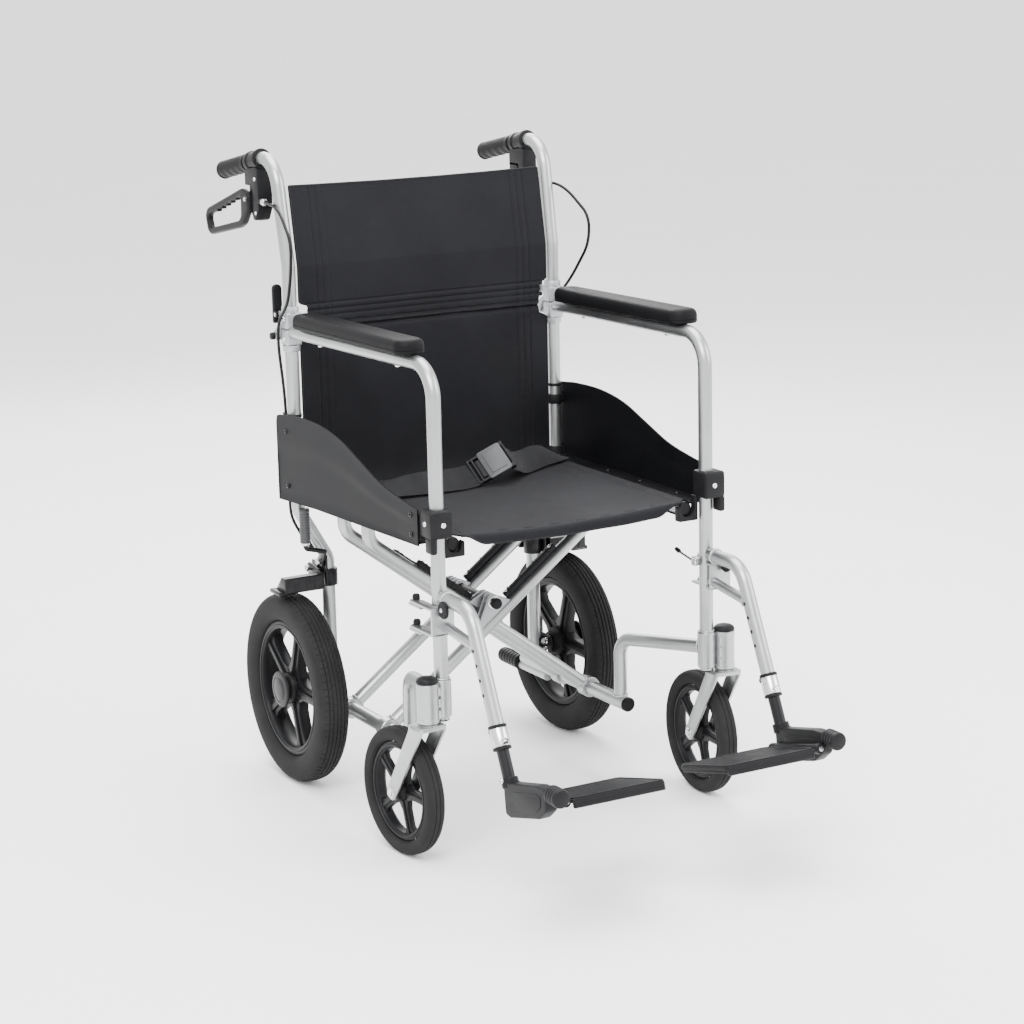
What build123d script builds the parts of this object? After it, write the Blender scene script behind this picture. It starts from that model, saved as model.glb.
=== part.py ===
from build123d import *
from math import atan2, cos, degrees, hypot, pi, radians, sin, tan
import os

# Folding wheelchair with small wheels, pushed by a helper.  Millimetres.
# +Z is up, the sitter faces -Y, and +X is the sitter's left.
# The origin is on the floor, at the centre of the overall box.
# Side pieces are drawn on the left side and mirrored for the right side.

SIDES = ("right", "left")

# Round tubes
TUBE_R = 11.0
TUBE_WALL = 1.6
FRAME_BEND_R = 30.0

# Front post and armrest tube
FRONT_X = 236.5
FRONT_Y = -203.0
POST_BOTTOM_Z = 226.0
ARM_BEND_R = 50.0
ARM_FRONT_Z = 760.0
ARM_REAR_Z = 752.0
ARM_REAR_X = 243.0
ARM_REAR_Y = 258.6

# Armrest pad
PAD_FRONT_Y = -155.0
PAD_REAR_Y = 235.0
PAD_WIDTH = 50.0
PAD_HEIGHT = 22.0
PAD_CORNER_R = 20.0
PAD_EDGE_R = 6.0
PAD_GAP = 0.3

# Caster housing and caster
HOUSING_X = 264.6
HOUSING_Y = -210.5
HOUSING_R = 17.0
HOUSING_BOTTOM_Z = 226.0
HOUSING_TOP_Z = 288.0
SLEEVE_R = 14.5
STEM_R = 10.0
RUNNING_GAP = 0.05
CASTER_R = 100.0
CASTER_WIDTH = 30.0
CASTER_TRAIL = 77.0
CASTER_YAW = 4.5
CASTER_TYRE_INNER_R = 78.0
CASTER_RIM_INNER_R = 66.0
CASTER_HUB_R = 17.0
CASTER_HUB_HALF = 17.0
CASTER_AXLE_R = 4.0
FORK_INNER = 18.5
FORK_OUTER = 22.5
FORK_LEG_WIDTH = 24.0
CROWN_BOTTOM_Z = 216.0
CROWN_TOP_Z = 223.0

# Rear wheel
REAR_R = 158.0
REAR_X = 256.0
REAR_Y = 281.0
REAR_WIDTH = 52.0
REAR_TYRE_INNER_R = 113.0
REAR_RIM_INNER_R = 98.0
REAR_HUB_R = 26.0
REAR_AXLE_R = 6.0
SPOKES = 5

# Rear post
REAR_POST_X = 243.0
REAR_POST_Y = 273.0
LOWER_POST_X = 194.0
SLANT_TOP_Z = 458.0
SLANT_BOTTOM_Z = 372.0
POST_FOOT_Z = 143.0
LOWER_POST_TOP_Z = 754.0

# Lower pivot tube, along Y, that the cross brace turns on
PIVOT_X = 194.0
PIVOT_Z = 131.0
PIVOT_R = 12.0
PIVOT_FRONT_Y = -31.0
PIVOT_REAR_Y = 305.0
RAIL_DROP_Y = -11.0
RAIL_TOP_Z = 238.0
RAIL_START_Y = -192.0
RAIL_START_Z = 262.0

# Cross brace
CENTRE_Z = 312.0
BRACE_TOP_X = 205.0
BRACE_TOP_Z = 434.0
BRACE_BEND_R = 34.0
SEAT_RAIL_Z = 488.0
SEAT_RAIL_FRONT_Y = -190.0
SEAT_RAIL_REAR_Y = 235.0
BRACE_A_YS = (94.0, 181.0)
BRACE_B_YS = (70.0, 205.0)
COLLAR_R = 17.0
COLLAR_HALF = 10.5
LUG_HALF = 8.0
LUG_R = 13.0
LUG_FOOT = 36.0
BOLT_R = 5.0
BOLT_FRONT_Y = 52.0
BOLT_REAR_Y = 222.0
GUARD_START = 34.0
GUARD_LENGTH = 118.0
GUARD_SIZE = 10.0

# Back hinge
HINGE_Z = 756.5
HINGE_PIN_Y = 310.0
HINGE_PIN_Z = 741.0
HINGE_LUG_R = 7.0
HINGE_PIN_R = 4.0
HINGE_CAP_R = 6.0
HINGE_CAP_LENGTH = 7.0
BLOCK_HALF_X = 13.5
BLOCK_FRONT_Y = 259.0
BLOCK_REAR_Y = 283.5
BLOCK_HALF_Z = 27.0
LUG_HALF_X = 5.0
LUG_GAP = 0.3

# Handle tube and grip
LEAN_Z = 855.0
HANDLE_CORNER_Y = 304.7
HANDLE_CORNER_Z = 1031.6
HANDLE_END_Y = 505.0
HANDLE_END_Z = 993.5
HANDLE_TOP_X = 246.0
HANDLE_BEND_R = 50.0
GRIP_R = 15.5
GRIP_START_Y = 402.0

# Brake housing and loop lever
BRAKE_FRONT_Y = 347.0
BRAKE_REAR_Y = 396.0
BRAKE_BOTTOM_Z = 922.0
BRAKE_TOP_Z = 1006.0
BRAKE_HALF_X = 13.0
LOOP_X = 258.0
LOOP_HALF_X = 6.0
LOOP_BAR = 11.0
LOOP_PIVOT_Y = 384.0
LOOP_PIVOT_Z = 956.0
LOOP_PIN_R = 3.5
CABLE_R = 2.5

# Footrest
HANGER_TOP_Z = 415.0
HANGER_CORNER_Y = -300.0
HANGER_END_Y = -386.0
HANGER_END_Z = 230.5
HANGER_BEND_R = 45.0
PEG_X = 255.0
PEG_Y = -165.0
PEG_R = 4.0
PEG_LEVELS = (396.0, 357.0)
TAB_THICK = 4.0
FOOT_TILT = 14.7
FOOT_HINGE_X = 218.0
FOOT_HINGE_REAR_Y = -410.0
FOOT_HINGE_REAR_Z = 154.5
FOOT_INNER_X = 52.0
FOOT_DEPTH = 136.0
FOOT_THICK = 8.0

# Wheel lock
LOCK_PIVOT_Y = 266.0
LOCK_PIVOT_Z = 368.0
SHOE_PIVOT_Y = 296.0
SHOE_PIVOT_Z = 352.0
LOCK_PIN_R = 4.0
LOCK_PLATE_X = 208.0

# Fabric
FABRIC = 4.0
BACK_HALF_X = 229.0

os.makedirs("parts", exist_ok=True)


def keep(piece, node):
    piece.part.label = node
    export_step(piece.part, f"parts/{node}.step")


def set_side(side):
    if side == "right":
        mirror(about=Plane.YZ, mode=Mode.REPLACE)


def swept_tube(points, bend_r, outer_r, inner_r=0.0, mode=Mode.ADD):
    with BuildLine() as path:
        if len(points) > 2:
            FilletPolyline(*points, radius=bend_r)
        else:
            Line(*points)
    with BuildSketch(Plane(origin=path.line @ 0, z_dir=path.line % 0)) as section:
        Circle(outer_r)
        if inner_r > 0:
            Circle(inner_r, mode=Mode.SUBTRACT)
    sweep(sections=section.sketch, path=path.line, mode=mode)


def rod(centre, direction, radius, length, mode=Mode.ADD):
    with BuildSketch(Plane(origin=centre, z_dir=direction)) as section:
        Circle(radius)
    extrude(section.sketch, amount=length, mode=mode)


def block(low, high, mode=Mode.ADD):
    size = [b - a for a, b in zip(low, high)]
    middle = [(a + b) / 2 for a, b in zip(low, high)]
    with Locations(tuple(middle)):
        Box(*size, mode=mode)


def side_plate(points, x_low, x_high, mode=Mode.ADD):
    """A flat plate square to X, from its outline in Y and Z."""
    with BuildSketch(Plane.YZ.offset(x_low)) as section:
        with BuildLine():
            Polyline(*points, close=True)
        make_face()
    extrude(section.sketch, amount=x_high - x_low, mode=mode)


# ---- side frame -------------------------------------------------------------

def side_frame(side):
    with BuildPart() as frame:
        swept_tube([(FRONT_X, FRONT_Y, POST_BOTTOM_Z),
                    (FRONT_X, FRONT_Y, ARM_FRONT_Z),
                    (ARM_REAR_X, ARM_REAR_Y, ARM_REAR_Z)],
                   ARM_BEND_R, TUBE_R, TUBE_R - TUBE_WALL)
        swept_tube([(FRONT_X - 5, RAIL_START_Y, RAIL_START_Z),
                    (PIVOT_X, RAIL_DROP_Y, RAIL_TOP_Z),
                    (PIVOT_X, RAIL_DROP_Y, PIVOT_Z + PIVOT_R)],
                   FRAME_BEND_R, TUBE_R, TUBE_R - TUBE_WALL)
        rod((FRONT_X, FRONT_Y, HOUSING_BOTTOM_Z + 4), (0, 0, 1), SLEEVE_R,
            HOUSING_TOP_Z - HOUSING_BOTTOM_Z - 4)
        rod((HOUSING_X, HOUSING_Y, HOUSING_BOTTOM_Z), (0, 0, 1), HOUSING_R,
            HOUSING_TOP_Z - HOUSING_BOTTOM_Z)
        rod((HOUSING_X, HOUSING_Y, HOUSING_BOTTOM_Z), (0, 0, 1), STEM_R + RUNNING_GAP,
            HOUSING_TOP_Z - HOUSING_BOTTOM_Z, Mode.SUBTRACT)
        rod((FRONT_X, FRONT_Y, POST_BOTTOM_Z), (0, 0, 1), TUBE_R - TUBE_WALL,
            HOUSING_TOP_Z - POST_BOTTOM_Z + 10, Mode.SUBTRACT)
        for level in PEG_LEVELS:
            block((FRONT_X + 3, PEG_Y - 28, level), (PEG_X + 9, PEG_Y + 9, level + TAB_THICK))
            rod((PEG_X, PEG_Y, level), (0, 0, 1), PEG_R, TAB_THICK + 13)
        block((217, FRONT_Y - 4, 398), (FRONT_X - 9, FRONT_Y + 4, 408))
        rod((211.5, FRONT_Y, 403), (1, 0, 0), 3.0, 12)
        set_side(side)
    keep(frame, f"side_frame_{side}")


REAR_POST_PATH = [(REAR_POST_X, REAR_POST_Y, LOWER_POST_TOP_Z),
                  (REAR_POST_X, REAR_POST_Y, SLANT_TOP_Z),
                  (LOWER_POST_X, REAR_POST_Y, SLANT_BOTTOM_Z),
                  (LOWER_POST_X, REAR_POST_Y, POST_FOOT_Z)]


def rear_post(side):
    axle_block_out_x = 226.0
    axle_end_x = 285.0
    neck = [(BLOCK_REAR_Y - 4, HINGE_PIN_Z - HINGE_LUG_R), (BLOCK_REAR_Y - 4, HINGE_Z - 6),
            (HINGE_PIN_Y, HINGE_PIN_Z + HINGE_LUG_R), (HINGE_PIN_Y, HINGE_PIN_Z - HINGE_LUG_R)]
    with BuildPart() as post:
        swept_tube(REAR_POST_PATH, FRAME_BEND_R, TUBE_R, TUBE_R - TUBE_WALL)
        block((REAR_POST_X - BLOCK_HALF_X, BLOCK_FRONT_Y, HINGE_Z - BLOCK_HALF_Z),
              (REAR_POST_X + BLOCK_HALF_X, BLOCK_REAR_Y, HINGE_Z - LUG_GAP))
        lug_x = REAR_POST_X - LUG_HALF_X
        side_plate(neck, lug_x, lug_x + 2 * LUG_HALF_X)
        rod((lug_x, HINGE_PIN_Y, HINGE_PIN_Z), (1, 0, 0), HINGE_LUG_R, 2 * LUG_HALF_X)
        rod((lug_x, HINGE_PIN_Y, HINGE_PIN_Z), (1, 0, 0), HINGE_PIN_R + RUNNING_GAP,
            2 * LUG_HALF_X, Mode.SUBTRACT)
        block((LOWER_POST_X, REAR_Y - 19, REAR_R - 14.7), (axle_block_out_x, REAR_Y + 17, REAR_R + 18))
        rod((axle_block_out_x - 4, REAR_Y, REAR_R), (1, 0, 0), REAR_AXLE_R,
            axle_end_x - axle_block_out_x + 4)
        set_side(side)
    keep(post, f"rear_post_{side}")


def pivot_tube(side):
    lever_z = 115.0
    with BuildPart() as tube:
        swept_tube([(PIVOT_X, PIVOT_FRONT_Y, PIVOT_Z), (PIVOT_X, PIVOT_REAR_Y, PIVOT_Z)],
                   0, PIVOT_R, PIVOT_R - TUBE_WALL - 0.4)
        rod((PIVOT_X, 228, lever_z), (0, 1, 0), 8.0, 98)
        set_side(side)
    keep(tube, f"pivot_tube_{side}")


def end_caps(side):
    with BuildPart() as caps:
        rod((HOUSING_X, HOUSING_Y, HOUSING_TOP_Z + 0.2), (0, 0, 1), HOUSING_R - 0.3, 3)
        with Locations((HOUSING_X, HOUSING_Y, HOUSING_TOP_Z + 3.2)):
            Cone(HOUSING_R - 0.3, 6, 6, align=(Align.CENTER, Align.CENTER, Align.MIN))
        rod((PIVOT_X, PIVOT_FRONT_Y - 6, PIVOT_Z), (0, 1, 0), PIVOT_R - 0.5, 5.8)
        rod((PIVOT_X, 318, 118), (0, 1, 0), 13.5, 68)
        rod((PIVOT_X, 318, 115), (0, 1, 0), 8.1, 8.2, Mode.SUBTRACT)
        set_side(side)
    keep(caps, f"end_caps_{side}")


def armrest_pad(side):
    slope = degrees(atan2(ARM_FRONT_Z - ARM_REAR_Z, ARM_REAR_Y - FRONT_Y))
    length = PAD_REAR_Y - PAD_FRONT_Y
    mid_y = (PAD_REAR_Y + PAD_FRONT_Y) / 2
    share = (mid_y - FRONT_Y) / (ARM_REAR_Y - FRONT_Y)
    mid_x = FRONT_X + share * (ARM_REAR_X - FRONT_X)
    mid_z = ARM_FRONT_Z + share * (ARM_REAR_Z - ARM_FRONT_Z)
    with BuildPart() as pad:
        bottom = mid_z + TUBE_R + PAD_GAP
        pad_plane = Plane(origin=(mid_x, mid_y, bottom), x_dir=(1, 0, 0),
                          z_dir=(0, sin(radians(slope)), cos(radians(slope))))
        with BuildSketch(pad_plane):
            RectangleRounded(PAD_WIDTH, length, PAD_CORNER_R)
        extrude(amount=PAD_HEIGHT)
        fillet(pad.faces().sort_by(Axis.Z)[-1].edges(), PAD_EDGE_R)
        set_side(side)
    keep(pad, f"armrest_pad_{side}")


def side_panel(side):
    panel_x = 256.3
    thickness = 4.0
    top_curve = [(305, 611), (262, 618), (221, 621.5), (147, 621.5), (75, 611), (7, 588.5),
                 (-60, 566), (-126, 554), (-186.5, 546)]
    bottom = [(-186.5, 491), (165, 480.5), (308, 472.5)]
    with BuildPart() as panel:
        with BuildSketch(Plane.YZ.offset(panel_x)):
            with BuildLine():
                Spline(*top_curve)
                Polyline(top_curve[-1], *bottom, top_curve[0])
            make_face()
        extrude(amount=thickness)
        set_side(side)
    keep(panel, f"side_panel_{side}")


def seat_cradle(side):
    hook_top = SEAT_RAIL_Z - TUBE_R - 0.5
    with BuildPart() as cradle:
        block((222, -226, 506), (258, -187, 548))
        block((247.8, -226, 484), (258, -204, 507))
        block((189, -200, hook_top - 7), (224, -187.5, hook_top))
        block((189, -200, hook_top - 7), (192.5, -187.5, hook_top + 16))
        block((218, -200, hook_top - 7), (224, -187.5, 507))
        rod((FRONT_X, FRONT_Y, 460), (0, 0, 1), TUBE_R + 0.1, 100, Mode.SUBTRACT)
        set_side(side)
    keep(cradle, f"seat_cradle_{side}")


# ---- wheels -----------------------------------------------------------------

def wheel_disc(centre_x, y, z, rim_out, rim_in, rim_half, hub_r, hub_low, hub_high, bore_r):
    """Rim, five spokes and hub around an axle along X."""
    for low, high, outer in ((-rim_half, rim_half, rim_out), (hub_low, hub_high, hub_r)):
        rod((centre_x + low, y, z), (1, 0, 0), outer, high - low)
        if outer == rim_out:
            rod((centre_x + low, y, z), (1, 0, 0), rim_in, high - low, Mode.SUBTRACT)
    spoke_length = rim_in + 3
    for number in range(SPOKES):
        turn = radians(90 + number * 360 / SPOKES)
        spoke_plane = Plane(origin=(centre_x, y, z), x_dir=(1, 0, 0),
                            z_dir=(0, cos(turn), sin(turn)))
        with BuildSketch(spoke_plane) as section:
            Rectangle(rim_half * 1.1, hub_r * 0.75)
        extrude(section.sketch, amount=spoke_length)
    rod((centre_x + hub_low - 1, y, z), (1, 0, 0), bore_r, hub_high - hub_low + 2, Mode.SUBTRACT)


def tyre_ring(centre_x, y, z, outer_r, inner_r, width):
    half = width / 2
    shoulder = (outer_r - inner_r) * 0.45
    with BuildSketch(Plane(origin=(centre_x, y, z), x_dir=(1, 0, 0), z_dir=(0, -1, 0))) as section:
        with BuildLine():
            Polyline((-half * 0.6, inner_r), (-half, inner_r + shoulder * 0.6),
                     (-half, outer_r - shoulder))
            ThreePointArc((-half, outer_r - shoulder), (0, outer_r), (half, outer_r - shoulder))
            Polyline((half, outer_r - shoulder), (half, inner_r + shoulder * 0.6),
                     (half * 0.6, inner_r), (-half * 0.6, inner_r))
        make_face()
    revolve(section.sketch, axis=Axis((centre_x, y, z), (1, 0, 0)))


def rear_wheel(side):
    with BuildPart() as wheel:
        wheel_disc(REAR_X, REAR_Y, REAR_R, REAR_TYRE_INNER_R - 0.2, REAR_RIM_INNER_R, 17.0,
                   REAR_HUB_R, -28.5, 27.0, REAR_AXLE_R + RUNNING_GAP)
        rod((REAR_X + 27, REAR_Y, REAR_R), (1, 0, 0), REAR_HUB_R + 4, 6)
        rod((REAR_X + 20, REAR_Y, REAR_R), (1, 0, 0), REAR_AXLE_R + 1, 10, Mode.SUBTRACT)
        set_side(side)
    keep(wheel, f"rear_wheel_{side}")
    with BuildPart() as tyre:
        tyre_ring(REAR_X, REAR_Y, REAR_R, REAR_R, REAR_TYRE_INNER_R, REAR_WIDTH)
        set_side(side)
    keep(tyre, f"rear_tyre_{side}")


def place_caster(straight, node, side):
    """Sets a caster piece, drawn around its stem, under its housing."""
    with BuildPart() as placed:
        with Locations(Location((HOUSING_X, HOUSING_Y, 0), (0, 0, -CASTER_YAW))):
            add(straight.part)
        set_side(side)
    keep(placed, f"{node}_{side}")


def caster(side):
    leg_angle = atan2(CROWN_BOTTOM_Z - CASTER_R, CASTER_TRAIL)
    across = FORK_LEG_WIDTH / 2
    off_y = across * sin(leg_angle)
    off_z = across * cos(leg_angle)
    leg = [(-off_y, CROWN_TOP_Z - off_z), (-off_y - 6, CROWN_TOP_Z), (off_y + 8, CROWN_TOP_Z),
           (CASTER_TRAIL + off_y, CASTER_R + off_z), (CASTER_TRAIL - off_y, CASTER_R - off_z)]
    with BuildPart() as fork:
        rod((0, 0, CROWN_TOP_Z), (0, 0, 1), STEM_R, HOUSING_TOP_Z - CROWN_TOP_Z - 2)
        block((-FORK_OUTER, -17, CROWN_BOTTOM_Z), (FORK_OUTER, 19, CROWN_TOP_Z))
        for low in (-FORK_OUTER, FORK_INNER):
            high = low + FORK_OUTER - FORK_INNER
            side_plate(leg, low, high)
            rod((low, CASTER_TRAIL, CASTER_R), (1, 0, 0), across, high - low)
        rod((-FORK_OUTER - 4, CASTER_TRAIL, CASTER_R), (1, 0, 0), CASTER_AXLE_R,
            2 * FORK_OUTER + 8)
    place_caster(fork, "caster_fork", side)
    with BuildPart() as wheel:
        wheel_disc(0, CASTER_TRAIL, CASTER_R, CASTER_TYRE_INNER_R - 0.2, CASTER_RIM_INNER_R, 9.0,
                   CASTER_HUB_R, -CASTER_HUB_HALF, CASTER_HUB_HALF, CASTER_AXLE_R + RUNNING_GAP)
    place_caster(wheel, "caster_wheel", side)
    with BuildPart() as tyre:
        tyre_ring(0, CASTER_TRAIL, CASTER_R, CASTER_R, CASTER_TYRE_INNER_R, CASTER_WIDTH)
    place_caster(tyre, "caster_tyre", side)


# ---- cross brace ------------------------------------------------------------

def brace_shape(tube_ys):
    """One brace, low at +X and high at -X: two tubes, seat rail, collars and lugs."""
    run_x = -BRACE_TOP_X - PIVOT_X
    run_z = BRACE_TOP_Z - PIVOT_Z
    slope = run_z / run_x
    centre_tube_z = PIVOT_Z - PIVOT_X * slope
    for y in tube_ys:
        swept_tube([(PIVOT_X, y, PIVOT_Z), (-BRACE_TOP_X, y, BRACE_TOP_Z),
                    (-BRACE_TOP_X, y, SEAT_RAIL_Z)], BRACE_BEND_R, TUBE_R, TUBE_R - TUBE_WALL)
        rod((PIVOT_X, y - COLLAR_HALF, PIVOT_Z), (0, 1, 0), COLLAR_R, 2 * COLLAR_HALF)
        foot_low = (LUG_FOOT, y, centre_tube_z + LUG_FOOT * slope)
        foot_high = (-LUG_FOOT, y, centre_tube_z - LUG_FOOT * slope)
        with BuildSketch(Plane.XZ.offset(-y - LUG_HALF)) as web:
            with BuildLine():
                Polyline((foot_low[0], foot_low[2]), (LUG_R * 0.7, CENTRE_Z + LUG_R * 0.7),
                         (-LUG_R * 0.7, CENTRE_Z + LUG_R * 0.7), (foot_high[0], foot_high[2]),
                         close=True)
            make_face()
        extrude(web.sketch, amount=2 * LUG_HALF)
        rod((0, y - LUG_HALF, CENTRE_Z), (0, 1, 0), LUG_R, 2 * LUG_HALF)
    swept_tube([(-BRACE_TOP_X, SEAT_RAIL_FRONT_Y, SEAT_RAIL_Z),
                (-BRACE_TOP_X, SEAT_RAIL_REAR_Y, SEAT_RAIL_Z)], 0, TUBE_R, TUBE_R - TUBE_WALL)
    rod((PIVOT_X, tube_ys[0] - 20, PIVOT_Z), (0, 1, 0), PIVOT_R + RUNNING_GAP,
        tube_ys[1] - tube_ys[0] + 40, Mode.SUBTRACT)


def brace_guards_shape(tube_ys):
    """Black strips on the upper side of the upper half of each brace tube."""
    run = Vector(-BRACE_TOP_X - PIVOT_X, 0, BRACE_TOP_Z - PIVOT_Z).normalized()
    normal = Vector(run.Z, 0, -run.X)
    slope = (BRACE_TOP_Z - PIVOT_Z) / (-BRACE_TOP_X - PIVOT_X)
    crossing = Vector(0, 0, PIVOT_Z - PIVOT_X * slope)
    for y in tube_ys:
        start = crossing + run * (GUARD_START + 10) + normal * (TUBE_R + 0.2) + Vector(0, y, 0)
        with BuildSketch(Plane(origin=start, x_dir=(0, 1, 0), z_dir=run)) as strip:
            with Locations((0, -GUARD_SIZE / 2)):
                Rectangle(GUARD_SIZE, GUARD_SIZE)
        extrude(strip.sketch, amount=GUARD_LENGTH)


def braces():
    with BuildPart() as brace_a:
        brace_shape(BRACE_A_YS)
        rod((0, BOLT_FRONT_Y, CENTRE_Z), (0, 1, 0), BOLT_R, BOLT_REAR_Y - BOLT_FRONT_Y)
    keep(brace_a, "brace_a")
    with BuildPart() as brace_b:
        brace_shape(BRACE_B_YS)
        rod((0, BOLT_FRONT_Y - 10, CENTRE_Z), (0, 1, 0), BOLT_R + RUNNING_GAP,
            BOLT_REAR_Y - BOLT_FRONT_Y + 20, Mode.SUBTRACT)
        mirror(about=Plane.YZ, mode=Mode.REPLACE)
    keep(brace_b, "brace_b")
    with BuildPart() as guards_a:
        brace_guards_shape(BRACE_A_YS)
    keep(guards_a, "brace_guards_a")
    with BuildPart() as guards_b:
        brace_guards_shape(BRACE_B_YS)
        mirror(about=Plane.YZ, mode=Mode.REPLACE)
    keep(guards_b, "brace_guards_b")


# ---- handle and brake -------------------------------------------------------

def handle_point(y):
    """Point on the handle tube's upper run at depth y."""
    share = (y - HANDLE_CORNER_Y) / (HANDLE_END_Y - HANDLE_CORNER_Y)
    z = HANDLE_CORNER_Z + share * (HANDLE_END_Z - HANDLE_CORNER_Z)
    return (HANDLE_TOP_X, y, z)


HANDLE_RUN = (0, HANDLE_END_Y - HANDLE_CORNER_Y, HANDLE_END_Z - HANDLE_CORNER_Z)


def handle_tube(side):
    block_top = HINGE_Z + BLOCK_HALF_Z
    hinge_arm = [(BLOCK_REAR_Y - 3, HINGE_Z + LUG_GAP), (BLOCK_REAR_Y - 3, HINGE_Z + 9),
                 (BLOCK_REAR_Y + 3, HINGE_Z + 7), (HINGE_PIN_Y + 4, HINGE_PIN_Z + 5.7),
                 (HINGE_PIN_Y - 4, HINGE_PIN_Z - 5.7), (BLOCK_REAR_Y + 1, HINGE_Z + LUG_GAP)]
    with BuildPart() as handle:
        swept_tube([(REAR_POST_X, REAR_POST_Y, HINGE_Z + 3), (REAR_POST_X, REAR_POST_Y, LEAN_Z),
                    (HANDLE_TOP_X, HANDLE_CORNER_Y, HANDLE_CORNER_Z),
                    (HANDLE_TOP_X, HANDLE_END_Y, HANDLE_END_Z)],
                   HANDLE_BEND_R, TUBE_R, TUBE_R - TUBE_WALL)
        block((REAR_POST_X - BLOCK_HALF_X, BLOCK_FRONT_Y, HINGE_Z + LUG_GAP),
              (REAR_POST_X + BLOCK_HALF_X, BLOCK_REAR_Y, block_top))
        for low, high in ((REAR_POST_X - BLOCK_HALF_X, REAR_POST_X - LUG_HALF_X - LUG_GAP),
                          (REAR_POST_X + LUG_HALF_X + LUG_GAP, REAR_POST_X + BLOCK_HALF_X)):
            rod((low, HINGE_PIN_Y, HINGE_PIN_Z), (1, 0, 0), HINGE_LUG_R, high - low)
            side_plate(hinge_arm, low, high)
        rod((REAR_POST_X - BLOCK_HALF_X, HINGE_PIN_Y, HINGE_PIN_Z), (1, 0, 0), HINGE_PIN_R,
            2 * BLOCK_HALF_X)
        rod((REAR_POST_X + BLOCK_HALF_X - 0.5, HINGE_PIN_Y, HINGE_PIN_Z), (1, 0, 0),
            HINGE_CAP_R, HINGE_CAP_LENGTH)
        block((REAR_POST_X - 4, BLOCK_REAR_Y - 4, HINGE_Z + 12), (REAR_POST_X + 4, 312, HINGE_Z + 24))
        rod((REAR_POST_X - 10, 314, HINGE_Z + 18), (1, 0, 0), 3.0, 20)
        block((REAR_POST_X - 4, 310, HINGE_Z + 13), (REAR_POST_X + 4, 315.5, HINGE_Z + 23))
        set_side(side)
    keep(handle, f"handle_tube_{side}")


def push_grip(side):
    start = handle_point(GRIP_START_Y)
    end = handle_point(HANDLE_END_Y)
    length = hypot(end[1] - start[1], end[2] - start[2])
    with BuildPart() as grip:
        rod(start, HANDLE_RUN, GRIP_R, length + 4)
        rod(start, HANDLE_RUN, TUBE_R + 0.1, length + 0.3, Mode.SUBTRACT)
        set_side(side)
    keep(grip, f"push_grip_{side}")


def brake_housing(side):
    low_x = HANDLE_TOP_X - BRAKE_HALF_X
    high_x = HANDLE_TOP_X + BRAKE_HALF_X
    ring_start = handle_point(BRAKE_FRONT_Y + 12)
    shell = [(BRAKE_FRONT_Y, BRAKE_TOP_Z + 6), (BRAKE_REAR_Y, BRAKE_TOP_Z + 2),
             (BRAKE_REAR_Y, BRAKE_BOTTOM_Z + 18), (BRAKE_REAR_Y - 12, BRAKE_BOTTOM_Z),
             (BRAKE_FRONT_Y + 12, BRAKE_BOTTOM_Z), (BRAKE_FRONT_Y - 2, BRAKE_BOTTOM_Z + 22)]
    slot = [(LOOP_PIVOT_Y - 16, BRAKE_BOTTOM_Z - 5), (LOOP_PIVOT_Y - 16, LOOP_PIVOT_Z + 22),
            (BRAKE_REAR_Y + 5, LOOP_PIVOT_Z + 22), (BRAKE_REAR_Y + 5, BRAKE_BOTTOM_Z - 5)]
    cheek_low = LOOP_X - LOOP_HALF_X - LUG_GAP
    with BuildPart() as housing:
        side_plate(shell, low_x, high_x)
        rod(ring_start, HANDLE_RUN, TUBE_R + 5, 38)
        side_plate(slot, cheek_low, high_x + 1, Mode.SUBTRACT)
        rod((cheek_low - 6, LOOP_PIVOT_Y, LOOP_PIVOT_Z), (1, 0, 0), LOOP_PIN_R, 22)
        rod(ring_start, HANDLE_RUN, TUBE_R + 0.1, 38, Mode.SUBTRACT)
        rod(handle_point(BRAKE_FRONT_Y - 15), HANDLE_RUN, TUBE_R + 0.1, 90, Mode.SUBTRACT)
        rod((255, BRAKE_FRONT_Y - 14, 955), (0, 1, 0), 4.5, 16)
        set_side(side)
    keep(housing, f"brake_housing_{side}")


def brake_lever(side):
    outer = [(376, 966), (404, 972), (548, 928), (557, 916), (549, 889), (536, 884),
             (418, 906), (400, 914), (376, 942)]
    hole = [(406, 960), (540, 918), (546, 911), (540, 897), (533, 896), (420, 918), (408, 926)]
    with BuildPart() as lever:
        side_plate(outer, LOOP_X - LOOP_HALF_X, LOOP_X + LOOP_HALF_X)
        side_plate(hole, LOOP_X - LOOP_HALF_X, LOOP_X + LOOP_HALF_X, Mode.SUBTRACT)
        rod((LOOP_X - LOOP_HALF_X, LOOP_PIVOT_Y, LOOP_PIVOT_Z), (1, 0, 0),
            LOOP_PIN_R + RUNNING_GAP, 2 * LOOP_HALF_X, Mode.SUBTRACT)
        set_side(side)
    keep(lever, f"brake_lever_{side}")


CABLE_ROUTE = [(255, 332.5, 955), (262, 262, 952), (272, 196, 905), (272, 200, 858),
               (262, 240, 800), (262, 280, 768), (256, 296, 725), (249, 293, 640),
               (249, 293, 500), (244, 301, 440), (228, 290, 405), (218, 281, 392)]


def cable_radii(points):
    """Bend radius at each inner point: 0.45 of the shorter run over tan(half turn)."""
    radii = []
    for before, here, after in zip(points, points[1:], points[2:]):
        run_in = Vector(*here) - Vector(*before)
        run_out = Vector(*after) - Vector(*here)
        half_turn = radians(run_in.get_angle(run_out) / 2)
        radii.append(0.45 * min(run_in.length, run_out.length) / tan(half_turn))
    return radii


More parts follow.
